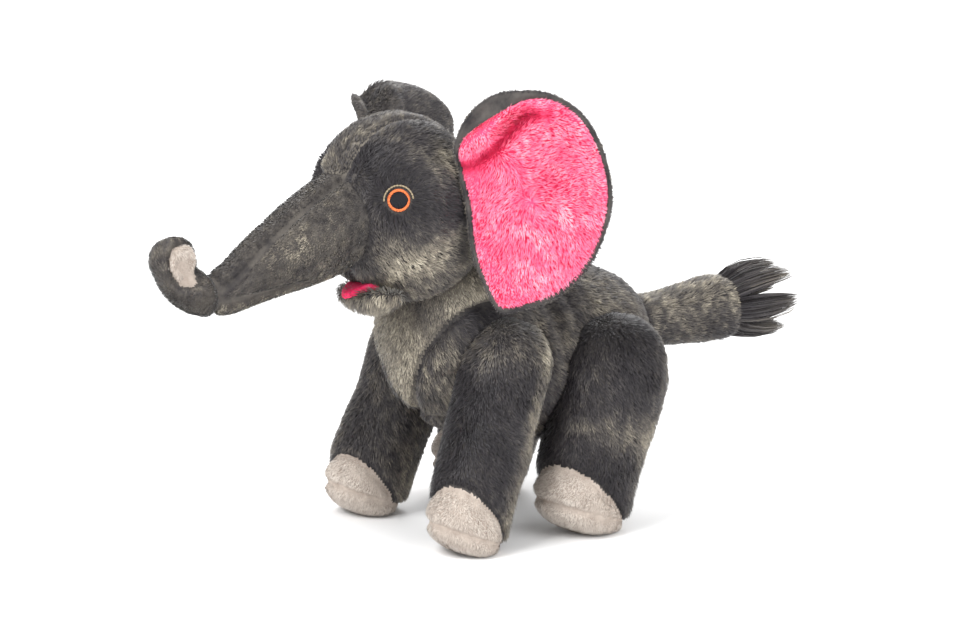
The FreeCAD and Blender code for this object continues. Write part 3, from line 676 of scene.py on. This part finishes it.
legs = {}
for number, (leg, word) in enumerate((a, b) for a in ("front", "rear") for b in ("left", "right")):
    legs[leg, word] = Bag(
        [node_mesh(f"{leg}_{word}_stuffing")],
        [f"{leg}_{word}_{part}" for part in ("sleeve", "toe_cap", "sole")], seed=10 + number, lumps=1.1,
        voxel=3.2 * MM, cap=4.0 * MM, groove=1.8, shape=foot_shape)

torso.hide_inside(*legs.values(), head, tail)
head.hide_inside(torso, trunk)
trunk.hide_inside(head)
tail.hide_inside(torso)
for bag in legs.values():
    bag.hide_inside(torso)


def torso_tone(points, normals):
    p = own(points)
    p[:, 0] = np.abs(p[:, 0])
    tone = mottled(points, 0.47, seed=51)
    return tone + spots(p, (44, -36, 122, 16, -0.3), (50, -16, 108, 16, 0.12), (46, 6, 118, 14, 0.1),
                        (30, 60, 120, 22, 0.05), (52, 20, 80, 22, -0.2), (20, -60, 150, 22, -0.2),
                        (0, 90, 80, 20, -0.1))


def bib_tone(points, normals):
    p = own(points)
    return (mottled(points, 0.82, 0.25, seed=53, flecks=0.3)
            + spots(p, (20, -66, 132, 14, -0.32), (0, -70, 148, 18, -0.1)))


body_flow = drift(0, 0.75, -0.75)
dress(torso, "torso_side_left", "torso", LONG, torso_tone, body_flow, 101, ["torso_stuffing"])
dress(torso, "torso_side_right", "torso", LONG, torso_tone, body_flow, 102)
dress(torso, "chest_panel", "torso", SOFT, bib_tone, drift(0, 0, -1), 103)
dress(torso, "belly_panel", "torso", SOFT,
      lambda p, n: mottled(p, 0.42, 0.3, seed=55), drift(0, 1, 0), 104)

# ---- head

neck_blend = ("torso", "head", Vector(JOINTS["head_nod"] + neck_axis * 60 * MM),
              Vector(JOINTS["head_nod"] + neck_axis * 30 * MM))
EYE_SHARE = np.array((0.879, -math.sqrt(1 - 0.879 ** 2 - 0.135 ** 2), 0.135))
EYE_HALVES = np.array((44.0, 48.0, 52.0))


def eye_place(side):
    """The eye's middle in the head's millimetres, and its outward, across and up directions."""
    share = EYE_SHARE * np.array((side, 1, 1))
    outward = unit(share / EYE_HALVES)
    across = unit(np.cross((0, 0, 1), outward))
    return share * EYE_HALVES, outward, across, np.cross(outward, across)


def clear_of_eyes(points):
    p = head_own(points)
    keep = np.ones(len(p), bool)
    for side in (1, -1):
        keep &= np.linalg.norm(p - eye_place(side)[0], axis=1) > 7.8
    return keep


def head_tone(points, normals):
    p = head_own(points)
    p[:, 0] = np.abs(p[:, 0])
    tone = mottled(points, 0.5, 0.5, seed=61, size=18)
    return tone + spots(p, (40, -22, 8, 19, -0.42), (22, -38, 28, 18, -0.42), (43, 8, 0, 17, -0.4),
                        (36, -16, -30, 17, 0.34), (43, 8, -24, 14, 0.28), (22, 4, 46, 18, -0.2),
                        (38, 10, 26, 13, 0.3), (32, -10, 34, 9, 0.12))


def head_flow(points, normals):
    """Back over the crown and down the cheeks, and away from the eyes."""
    p = head_own(points)
    flow = drift(0, 0.8, -0.35)(points, normals)
    for side in (1, -1):
        away = p - eye_place(side)[0]
        near = np.exp(-(np.linalg.norm(away, axis=1) / 15) ** 2)
        flow = flow + (unit(away) @ ROLL.T) * (near * 2.5)[:, None]
    return flow


for number, (panel, stands) in enumerate((("head_side_left", ["head_stuffing"]), ("head_side_right", []))):
    dress(head, panel, "head", LONG, head_tone, head_flow, 110 + number, stands, neck_blend,
          bald=clear_of_eyes)
dress(head, "head_gusset", "head", SOFT,
      lambda p, n: (mottled(p, 0.52, 0.4, seed=63, size=14)
                    + spots(head_own(p), (0, 30, 40, 30, -0.15), (10, -38, 30, 12, -0.3), (0, -44, 18, 14, 0.2))),
      drift(0, 0.6, 0.6), 113, [], neck_blend)


def lip_pulled_in(points, _normals=None):
    """The lower lip's front edge draws back under the trunk."""
    forward = -head_own(points)[:, 1]
    return points + (6.0 * ramp(forward, 14, 40) * MM)[:, None] * (ROLL @ np.array((0, 1.0, 0)))


chin = Bag([node_mesh("chin")], ["chin"], seed=6, lumps=0.5, voxel=2.4 * MM, cap=1.5 * MM, shape=lip_pulled_in,
           grow=0.4)
chin.hide_inside(head)
FLUFF = (grey_backing, grey_fibres, 1.8, 5.0, 0.46, 52, 0.3)
dress(chin, "chin", "head", FLUFF, lambda p, n: mottled(p, 0.68, 0.3, seed=65),
      drift(0, -0.2, -1), 115)

# the tongue, a flat tab of felt with a soft edge
points, faces = through_modifier(*node_mesh("tongue"), "REMESH", mode="VOXEL", voxel_size=0.7 * MM)
points = spread(points, edges_of(faces), 3)
droop = np.clip((-head_own(points)[:, 1] - 28) / 13, 0, 1) ** 2  # its tip hangs over the lower lip
tab = head_own(points) * np.array((0.66, 1, 1))
tab[:, 2] = (tab[:, 2] + 43) * 2.6 - 43
points = lip_pulled_in(tab @ ROLL.T * MM + JOINTS["head_nod"])
points -= droop[:, None] * (ROLL @ np.array((0, 2.0, 4.0))) * MM
tongue = new_object("tongue_felt", points, faces)
tongue.data.materials.append(felt)
attach(tongue, "head", ["tongue"])


# ---- eyes

def stitch(start, end, lift, radius, outward):
    """One raised stitch: a short thread that dives into the cloth at both ends."""
    steps, around = 8, 8
    along = unit(end - start)
    across = unit(np.cross(outward, along))
    points, faces = [], []
    for i in range(steps + 1):
        t = i / steps
        swell = math.sin(math.pi * min(max(t, 0.04), 0.96)) ** 0.45
        middle = start + (end - start) * t + outward * (lift * swell)
        for j in range(around):
            a = 2 * math.pi * j / around
            points.append(middle + (across * math.cos(a) + outward * math.sin(a)) * radius * (0.35 + 0.65 * swell))
    for i in range(steps):
        for j in range(around):
            k = (j + 1) % around
            faces.append((i * around + j, i * around + k, (i + 1) * around + k, (i + 1) * around + j))
    faces.append(tuple(range(around))[::-1])
    faces.append(tuple(steps * around + j for j in range(around)))
    return rows(points), faces


def surface_lift(p, side):
    """Drops a point of the eye's flat pattern onto the head's skin."""
    centre, outward, _, _ = eye_place(side)
    place = on_head(*(centre + p))
    direction = ROLL @ outward
    hit = head.tree.ray_cast(Vector(place + direction * 12 * MM), Vector(-direction), 0.03)[0]
    return np.array(hit) if hit else place


def build_eye(side):
    word = "left" if side > 0 else "right"
    _, outward, across, up = eye_place(side)
    normal = ROLL @ outward
    rng = np.random.default_rng(70 + side)

    def flat(radius, turn):
        return (across * math.cos(turn) + up * math.sin(turn)) * radius

    pupil = []
    for i in range(17):
        x = -4.7 + 9.4 * i / 16
        reach = math.sqrt(max(5.0 ** 2 - x * x, 0.3)) + rng.uniform(-0.15, 0.15)
        low, high = (surface_lift(across * x + up * y, side) for y in (-reach, reach))
        pupil.append(stitch(low, high, 1.0 * MM, 0.36 * MM, normal))
    ring = []
    for i in range(46):
        turn = 2 * math.pi * i / 46 + rng.uniform(-0.02, 0.02)
        inner, outer = (surface_lift(flat(r, turn + skew), side) for r, skew in ((4.6, 0.0), (6.1, 0.12)))
        ring.append(stitch(inner, outer, 0.95 * MM, 0.42 * MM, normal))
    lid = []
    for i in range(15):
        turn = math.pi * (0.04 + 0.92 * i / 14)
        step = math.pi * 0.075
        a, b = (surface_lift(flat(7.9, turn + s), side) for s in (-step / 2, step / 2))
        lid.append(stitch(a, b, 0.6 * MM, 0.5 * MM, normal))
    for part, stitches, colour in (("pupil", pupil, "black"), ("ring", ring, "copper"), ("lid", lid, "beige")):
        node = f"eye_{part}_{word}"
        obj = new_object(f"{node}_stitching", *joined(stitches))
        obj.data.materials.append(threads[colour])
        attach(obj, "head", [node])


for side in (1, -1):
    build_eye(side)

# ---- trunk

trunk_blend = ("head", "trunk", Vector(on_head(0, -34, -4)), Vector(on_head(0, -58, -13)))


def trunk_flow(points, normals):
    """Towards the tip all the way along."""
    p = head_own(points)
    flow = np.stack([np.zeros(len(p)), -np.ones(len(p)), -0.35 + 0 * p[:, 0]], axis=1)
    curl = ramp(-p[:, 1], 118, 140)
    flow = flow * (1 - curl)[:, None] + np.array((0.3, 0, 1.0)) * curl[:, None]
    return flow @ ROLL.T + (drift(0, 0, 1)(points, normals) - np.array((0, 0, 1.0))) * 0.5


def trunk_tone(level, depth=0.3):
    def tone(points, normals):
        p = head_own(points)
        p[:, 0] = np.abs(p[:, 0])
        return (mottled(points, level, depth, size=20, flecks=0.5, seed=71, stretch=(1, 1, 1))
                + spots(p, (27, -44, 2, 16, -0.14), (18, -84, -6, 16, 0.16), (28, -50, -32, 14, 0.12),
                        (14, -118, -44, 16, -0.08)))
    return tone


for number, (panel, tone, stands) in enumerate((
        ("trunk_side_left", trunk_tone(0.52), ["trunk_stuffing"]), ("trunk_side_right", trunk_tone(0.52), []),
        ("trunk_top_strip", trunk_tone(0.44), []), ("trunk_under_strip", trunk_tone(0.72), []),
        ("trunk_tip_sleeve", trunk_tone(0.5, 0.5), []))):
    dress(trunk, panel, "trunk", SHEARED, tone, trunk_flow, 130 + number, stands, trunk_blend)
dress(trunk, "trunk_tip_disc", "trunk", SUEDE,
      lambda p, n: mottled(p, 0.6, 0.3, seed=73), drift(0, 0, -1), 136, [], trunk_blend)

# ---- legs


def leg_tone(leg, word):
    side = 1 if word == "left" else -1
    hip = own(JOINTS[f"{leg}_{word}_swing"][None])[0]

    def tone(points, normals):
        p = own(points) - hip
        p[:, 0] *= side
        if leg == "front":
            base = mottled(points, 0.12 if side > 0 else 0.38, 0.36, seed=81 + side, flecks=0.4)
            back = ramp(p[:, 1] - 0.38 * p[:, 2], -3, 15)  # the rear edge, which leans with the leg
            base += back * (0.54 if side > 0 else 0.16)
            base += ramp(p[:, 2], -6, 8) * 0.3  # the shoulder above the sleeve's fold
            if side < 0:
                base += ramp(p[:, 0], 4, 20) * 0.08
        else:
            base = mottled(points, 0.24, 0.42, seed=85 + side, flecks=0.42)
            wavy = 10 * (noise(points, 14 * MM, 87) - 0.5)
            band = np.exp(-((p[:, 2] + 30 + 0.3 * p[:, 1] + wavy) / 12) ** 2)
            base += band * 0.3 * ramp(p[:, 0], 0, 16)
            base += ramp(p[:, 1] - 0.33 * p[:, 2], 6, 26) * 0.34
        return base
    return tone


leg_flow = drift(0, 0.15, -1)
foot_flow = drift(0, -0.5, -1)
for number, ((leg, word), bag) in enumerate(legs.items()):
    hip = JOINTS[f"{leg}_{word}_swing"]
    name = f"{leg}_{word}"
    joined_at = ("torso", f"{name}_leg", Vector(hip + np.array((0, 0, 0.022))), Vector(hip - np.array((0, 0, 0.018))))
    dress(bag, f"{name}_sleeve", f"{name}_leg", LONG, leg_tone(leg, word), leg_flow, 150 + number,
          [f"{name}_stuffing"], joined_at)
    for part, level, flow in (("toe_cap", 0.62, foot_flow), ("sole", 0.55, foot_flow)):
        dress(bag, f"{name}_{part}", f"{name}_leg", SUEDE,
              lambda p, n, level=level: mottled(p, level, 0.3, size=12, seed=91, flecks=0.4), flow,
              160 + 2 * number + (part == "sole"))

# ---- ears

EAR_WIDTH, EAR_HEIGHT, EAR_MIDDLE = 72.0, 117.0, 0.48
EAR_OUTLINE = [
    (-0.05, 0.27), (0.02, 0.42), (0.24, 0.50), (0.55, 0.49), (0.82, 0.38), (0.97, 0.18),
    (0.99, -0.05), (0.83, -0.28), (0.56, -0.44), (0.26, -0.50), (0.09, -0.49), (0.02, -0.30), (0.0, 0.0),
]
EAR_LEAN = {"left": (0.0, 0.0, 40.0), "right": (14.0, 7.0, 26.0)}


def outline_ring(count):
    """The ear's edge as evenly numbered points of a smooth closed curve, from its middle."""
    key = np.array(EAR_OUTLINE) * np.array((EAR_WIDTH, EAR_HEIGHT))
    total = len(key)
    ring = []
    for i in range(count):
        s = i / count * total
        k, t = int(s), s - int(s)
        a, b, c, d = (key[(k + j) % total] for j in (-1, 0, 1, 2))
        ring.append(0.5 * (2 * b + (c - a) * t + (2 * a - 5 * b + 4 * c - d) * t * t
                           + (3 * b - a - 3 * c + d) * t ** 3))
    return np.array(ring) - np.array((EAR_MIDDLE * EAR_WIDTH, 0))


def ear_axes(word):
    side = 1 if word == "left" else -1
    lean, lift, flare = EAR_LEAN[word]
    turn = turn_about("Y", math.radians(-side * lean)) @ turn_about("Z", math.radians(90 - side * flare))
    return side, ROLL @ turn, on_head(side * 45.0, 23.0, lift)


def ear_crease(a):
    """The fold's height across the ear, both as shares of the ear's size."""
    return 0.20 + 0.22 * ramp(a, -0.05, 0.45) - 0.02 * a


def ear_bend(across, up):
    """How far the ear's middle layer stands towards its front, in millimetres: a shallow cup whose top front
    corner is folded over, and a soft dimple below the fold."""
    a, u = across / EAR_WIDTH, up / EAR_HEIGHT
    cup = 5.0 * ((a - 0.45) ** 2 * 2.6 + u ** 2 * 1.4)
    above = u - ear_crease(a)
    strength = 1 - ramp(a, 0.3, 0.62)
    fold = strength * (10.5 * np.exp(-((above - 0.075) / 0.075) ** 2) - 5.4 * np.exp(-((above + 0.03) / 0.034) ** 2))
    dimple = -2.5 * np.exp(-((a - 0.42) / 0.2) ** 2 - ((u + 0.02) / 0.14) ** 2)
    lap = 2.4 * np.exp(-((a - 0.3) / 0.22) ** 2 - ((u + 0.13) / 0.1) ** 2)
    return cup + fold + dimple + lap - 2.0


EAR_AROUND, EAR_RINGS, RIM_RINGS = 120, 30, 4


def ear_layer(word, part):
    """One padded layer of an ear as quads, with its outline pulled in for the lining."""
    side, axes, edge = ear_axes(word)
    around, rings = EAR_AROUND, EAR_RINGS
    ring = outline_ring(around)
    middle = np.array((EAR_MIDDLE * EAR_WIDTH, 0))
    if part == "lining":  # the back laps widely over the top front corner
        lap = np.exp(-(((ring[:, 0] + middle[0]) / EAR_WIDTH - 0.12) / 0.3) ** 2) * ramp(ring[:, 1], 28, 52)
        inset = 2.6 + 7.0 * lap
        ring = ring * (1 - inset / np.linalg.norm(ring, axis=1))[:, None]
    points, faces = [], []
    for layer in (1, -1):
        for i in range(rings + 1):
            r = math.sin(math.pi / 2 * i / rings)
            flat = ring * r + middle
            bend = ear_bend(flat[:, 0], flat[:, 1])
            edge_round = max(1 - r ** 10, 0) ** 0.5
            if part == "lining":
                depth = 3.6 * edge_round if layer > 0 else 0.2
            else:
                roll_over = 2.6 * math.exp(-((r - 0.97) / 0.035) ** 2)
                depth = roll_over * edge_round if layer > 0 else -4.0 * edge_round - 0.2
            front = bend + depth
            if i == rings:
                front = bend + (0.4 if part == "lining" else 0.2)
            height = flat[:, 1]
            # the sewn edge reaches into the head's cover
            across = flat[:, 0] - 7 * (1 - ramp(flat[:, 0], -4, 22)) * np.exp(-(flat[:, 1] / 44) ** 4)
            if word == "right":  # its top has flopped forwards
                start, radius, most = 15, 23, 1.35
                over = np.maximum(height - start, 0)
                bent = np.minimum(over / radius, most)
                rest = np.maximum(over - radius * most, 0)
                height = np.where(over > 0, start + (radius - front) * np.sin(bent) + rest * np.cos(bent), height)
                front = np.where(over > 0, radius - (radius - front) * np.cos(bent) + rest * np.sin(bent), front)
                across = across * (1 - 0.2 * ramp(over, 0, 34))
            local = np.stack([across, -side * front, height], axis=1)
            points.append(local @ axes.T * MM + edge)
    count = (rings + 1) * around
    for layer in range(2):
        for i in range(rings):
            for j in range(around):
                k = (j + 1) % around
                a = layer * count + i * around
                face = (a + j, a + around + j, a + around + k, a + k)
                flip = (layer == 1) == (side < 0)
                faces.append(face[::-1] if flip else face)
    return np.vstack(points), np.array(faces), axes, edge, side


def ear_flow(word, spread_from):
    side, axes, edge = ear_axes(word)

    def flow(points, normals):
        centre = axes @ (np.array((spread_from[0] * EAR_WIDTH, 0, spread_from[1] * EAR_HEIGHT)) * MM) + edge
        wander = np.stack([noise(points, 20 * MM, s) for s in (45, 46, 47)], axis=1) - 0.5
        lie = axes @ np.array((0.5, 0, -0.6))
        return unit(points - centre) * 0.8 + lie + wander * 0.9
    return flow


def build_ear(word, seed):
    body = f"ear_{word}"
    for part, style, finish in (("back", LONG, "grey_plush"), ("lining", PINK, "pink_plush")):
        points, faces, axes, edge, side = ear_layer(word, part)
        # the two layers are welded along the rim and at the middle
        obj = new_object(f"ear_{part}_{word}_cover", points, faces)
        obj.data.materials.append(style[0])
        modifier = obj.modifiers.new("weld", "WELD")
        modifier.merge_threshold = 0.02 * MM
        graph = bpy.context.evaluated_depsgraph_get()
        welded = bpy.data.meshes.new_from_object(obj.evaluated_get(graph))
        obj.modifiers.clear()
        obj.data = welded
        attach(obj, body, [f"ear_{part}_{word}"])
        # the pile grows on the side that shows, and round the rim
        normals = corner_normals(points, faces)
        rng = np.random.default_rng(seed + (part == "back"))
        front = axes @ np.array((0, -side, 0))
        wanted = np.ones(len(faces), bool)
        half = len(faces) // 2
        if part == "lining":
            wanted[half:] = False
        else:
            rim = np.arange(len(faces)) % half >= half * (EAR_RINGS - RIM_RINGS) // EAR_RINGS
            wanted[:half] = rim[:half]
        places = scatter(points, faces[wanted], style[2] * DENSITY, rng)
        roots, upright = weighted(points, *places), unit(weighted(normals, *places))
        if part == "lining":
            local = (roots - edge) @ axes / MM
            a, u2 = local[:, 0] / EAR_WIDTH, local[:, 2] / EAR_HEIGHT
            above = u2 - ear_crease(a)
            # painted shadow: the lining darkens in a band just under the fold
            shade = -0.75 * np.exp(-((above + 0.025) / 0.03) ** 2) * (1 - ramp(a, 0.4, 0.75))
            tone = mottled(roots, 0.56, 0.35, size=16, seed=95, flecks=0.5, stretch=(1, 1, 1)) + shade
            # painted highlight: a lighter band along the top of the fold
            tone += 0.16 * np.exp(-((above - 0.06) / 0.05) ** 2) * (1 - ramp(a, 0.3, 0.6))
            flow = ear_flow(word, (0.42, -0.02))
        else:
            tone = mottled(roots, 0.42, 0.45, seed=97)
            flow = ear_flow(word, (0.1, 0.1))
        lie = flow(roots, upright)
        if part == "back":  # the rim's pile is brushed over the back
            lie = lie - front * 1.5 * np.clip(upright @ front + 1, 0, 1)[:, None]
        # shorter towards the rim, so that the edge stays neat
        local = ((roots - edge) @ axes / MM)[:, (0, 2)] - np.array((EAR_MIDDLE * EAR_WIDTH, 0))
        reach = np.linalg.norm(local / np.array((EAR_WIDTH / 2, EAR_HEIGHT / 2)), axis=1)
        length = style[3] * (1 - 0.45 * ramp(reach, 0.72, 0.98))
        fur = pile(f"ear_{part}_{word}_pile", roots, upright, lie, tone, style[1], length,
                   style[4] / math.sqrt(DENSITY), style[5], rng, style[6])
        attach(fur, body, [f"ear_{part}_{word}"])


build_ear("left", 170)
build_ear("right", 174)

# ---- tail

TAIL_RISE = math.radians(2.3)
tail_axis = np.array((0, math.cos(TAIL_RISE), math.sin(TAIL_RISE)))
tail_root = JOINTS["tail_wag"]
tail_blend = ("torso", "tail", Vector(tail_root - tail_axis * 8 * MM), Vector(tail_root + tail_axis * 16 * MM))


def tail_tone(points, normals):
    height = (points - tail_root)[:, 2] / MM
    # painted light and shade: the top of the tail is lighter and its underside darker
    return (mottled(points, 0.5, 0.3, size=14, seed=99, flecks=0.6, stretch=(1, 1.8, 1))
            + 0.16 * np.clip(height / 16, -1.4, 1))


dress(tail, "tail_sleeve", "tail", LONG, tail_tone, drift(0, 1, 0.1), 180, ["tail_stuffing"],
      tail_blend)

TUFT_RADIUS, TUFT_FIBRES, TUFT_STEPS = 15.5, 5200, 4
OUTER_LOCKS, ALL_LOCKS = 8, 11


def build_tuft():
    """Long fibres gathered into pointed locks round a small core."""
    rng = np.random.default_rng(190)
    side_axis, up_axis = np.array((1.0, 0, 0)), np.cross((1.0, 0, 0), tail_axis)
    start = tail_root + tail_axis * 56 * MM
    core = new_object("tail_tuft_core", *ellipsoid(start + tail_axis * 4 * MM, (15, 12, 15),
                                                   np.stack([side_axis, tail_axis, up_axis], axis=1)))
    core.data.materials.append(grey_backing)
    attach(core, "tail", ["tail_tuft"])
    lock_tips = []
    for i in range(ALL_LOCKS):
        turn = 2 * math.pi * i / OUTER_LOCKS + rng.uniform(-0.2, 0.2)
        out = (0.25 if i >= OUTER_LOCKS else 0.75) + rng.uniform(-0.1, 0.1)
        far = rng.uniform(31, 40)
        lock_tips.append(start + tail_axis * far * MM
                         + (math.cos(turn) * side_axis + math.sin(turn) * up_axis) * out * 20 * MM)
    lock_tips = np.array(lock_tips)
    count = int(TUFT_FIBRES * DENSITY)
    turns = rng.uniform(0, 2 * math.pi, count)
    radii = np.sqrt(rng.random(count)) * TUFT_RADIUS
    roots = (start + (np.cos(turns) * radii)[:, None] * side_axis * MM
             + (np.sin(turns) * radii)[:, None] * up_axis * MM)
    roots += tail_axis * (rng.uniform(-3, 7, count) * (1 - radii / 20))[:, None] * MM
    flat_tips = lock_tips - (lock_tips - start) @ tail_axis[:, None] * tail_axis
    lock = lock_tips[np.argmin(np.linalg.norm(roots[:, None] - flat_tips[None], axis=2), axis=1)]
    aim = lock + rng.normal(0, 1.1 * MM, (count, 3)) - roots
    reach = np.linalg.norm(aim, axis=1) * rng.uniform(0.5, 1.05, count)
    aim = unit(aim)
    outward = unit(roots - (start - tail_axis * 12 * MM))
    spine = [roots]
    for step in range(TUFT_STEPS):
        share = (step + 0.5) / TUFT_STEPS
        heading = unit(outward * (1 - share) * 0.8 + aim * (0.35 + share))
        spine.append(spine[-1] + heading * (reach / TUFT_STEPS)[:, None])
    pulled = (lock - spine[-1]) * 0.55 * np.clip(reach / (30 * MM), 0.3, 1)[:, None]
    for step in range(1, TUFT_STEPS + 1):
        spine[step] = spine[step] + pulled * (step / TUFT_STEPS) ** 2
    across = unit(np.cross(unit(spine[1] - spine[0]), rng.normal(0, 1, (count, 3))))
    half = 0.34 * MM / math.sqrt(DENSITY) * rng.uniform(0.7, 1.2, count)
    points = ribbons(spine, across, half, [1 - 0.6 * step / TUFT_STEPS for step in range(TUFT_STEPS)])
    faces = []
    for s in range(0, count * (2 * TUFT_STEPS + 1), 2 * TUFT_STEPS + 1):
        faces += [(s + 2 * k, s + 2 * k + 1, s + 2 * k + 3, s + 2 * k + 2) for k in range(TUFT_STEPS - 1)]
        faces.append((s + 2 * TUFT_STEPS - 2, s + 2 * TUFT_STEPS - 1, s + 2 * TUFT_STEPS))
    tuft = new_object("tail_tuft_locks", points.reshape(-1, 3), faces)
    for fibre in grey_fibres:
        tuft.data.materials.append(fibre)
    last = len(grey_fibres) - 1
    shade = 0.22 + 0.22 * noise(roots, 6 * MM, 77) + rng.normal(0, 0.06, count)
    # the locks darken towards their roots: partly the dark base of tipped plush, partly painted shade deep inside the
    # locks
    lifts = np.linspace(-0.05, 0.2, TUFT_STEPS)
    index = np.clip(np.round((shade[:, None] + lifts[None]) * last), 0, last).astype(np.int32)
    tuft.data.polygons.foreach_set("material_index", index.ravel())
    attach(tuft, "tail", ["tail_tuft"])


build_tuft()

# ---- floor, light and camera

floor = new_object("floor", rows([(-3, -3, 0), (3, -3, 0), (3, 3, 0), (-3, 3, 0)]), [(0, 1, 2, 3)])
floor.data.materials.append(principled("floor", rgb(246, 246, 246), 0.9, 0.0)[0])


def lamp(name, place, target, size, watts):
    data = bpy.data.lights.new(name, "AREA")
    data.energy = watts
    data.size = size
    obj = bpy.data.objects.new(name, data)
    obj.location = place
    obj.rotation_euler = (Vector(target) - Vector(place)).to_track_quat("-Z", "Y").to_euler()
    scene.collection.objects.link(obj)


MIDDLE = (-0.013, 0.008, 0.109)
lamp("key", (0.3, -1.5, 1.7), MIDDLE, 1.1, 46)
lamp("fill", (1.7, 0.4, 0.9), MIDDLE, 1.4, 20)
lamp("rim", (-1.2, 1.0, 1.5), MIDDLE, 1.0, 24)
world = bpy.data.worlds.new("studio")
world.use_nodes = True
world.node_tree.nodes["Background"].inputs["Color"].default_value = (1, 1, 1, 1)
world.node_tree.nodes["Background"].inputs["Strength"].default_value = 1.0
scene.world = world
scene.view_settings.view_transform = "Standard"

AIM = Vector(MIDDLE) + Vector((0, 0, 0.0025))
AZIMUTH, ELEVATION, DISTANCE = math.radians(56), math.radians(14), 5.0
camera_data = bpy.data.cameras.new("camera")
camera_data.lens = 348
camera_data.sensor_width = 36
camera = bpy.data.objects.new("camera", camera_data)
back = Vector((math.sin(AZIMUTH) * math.cos(ELEVATION), -math.cos(AZIMUTH) * math.cos(ELEVATION),
               math.sin(ELEVATION)))
camera.location = AIM + back * DISTANCE
camera.rotation_euler = (-back).to_track_quat("-Z", "Y").to_euler()
scene.collection.objects.link(camera)
scene.camera = camera
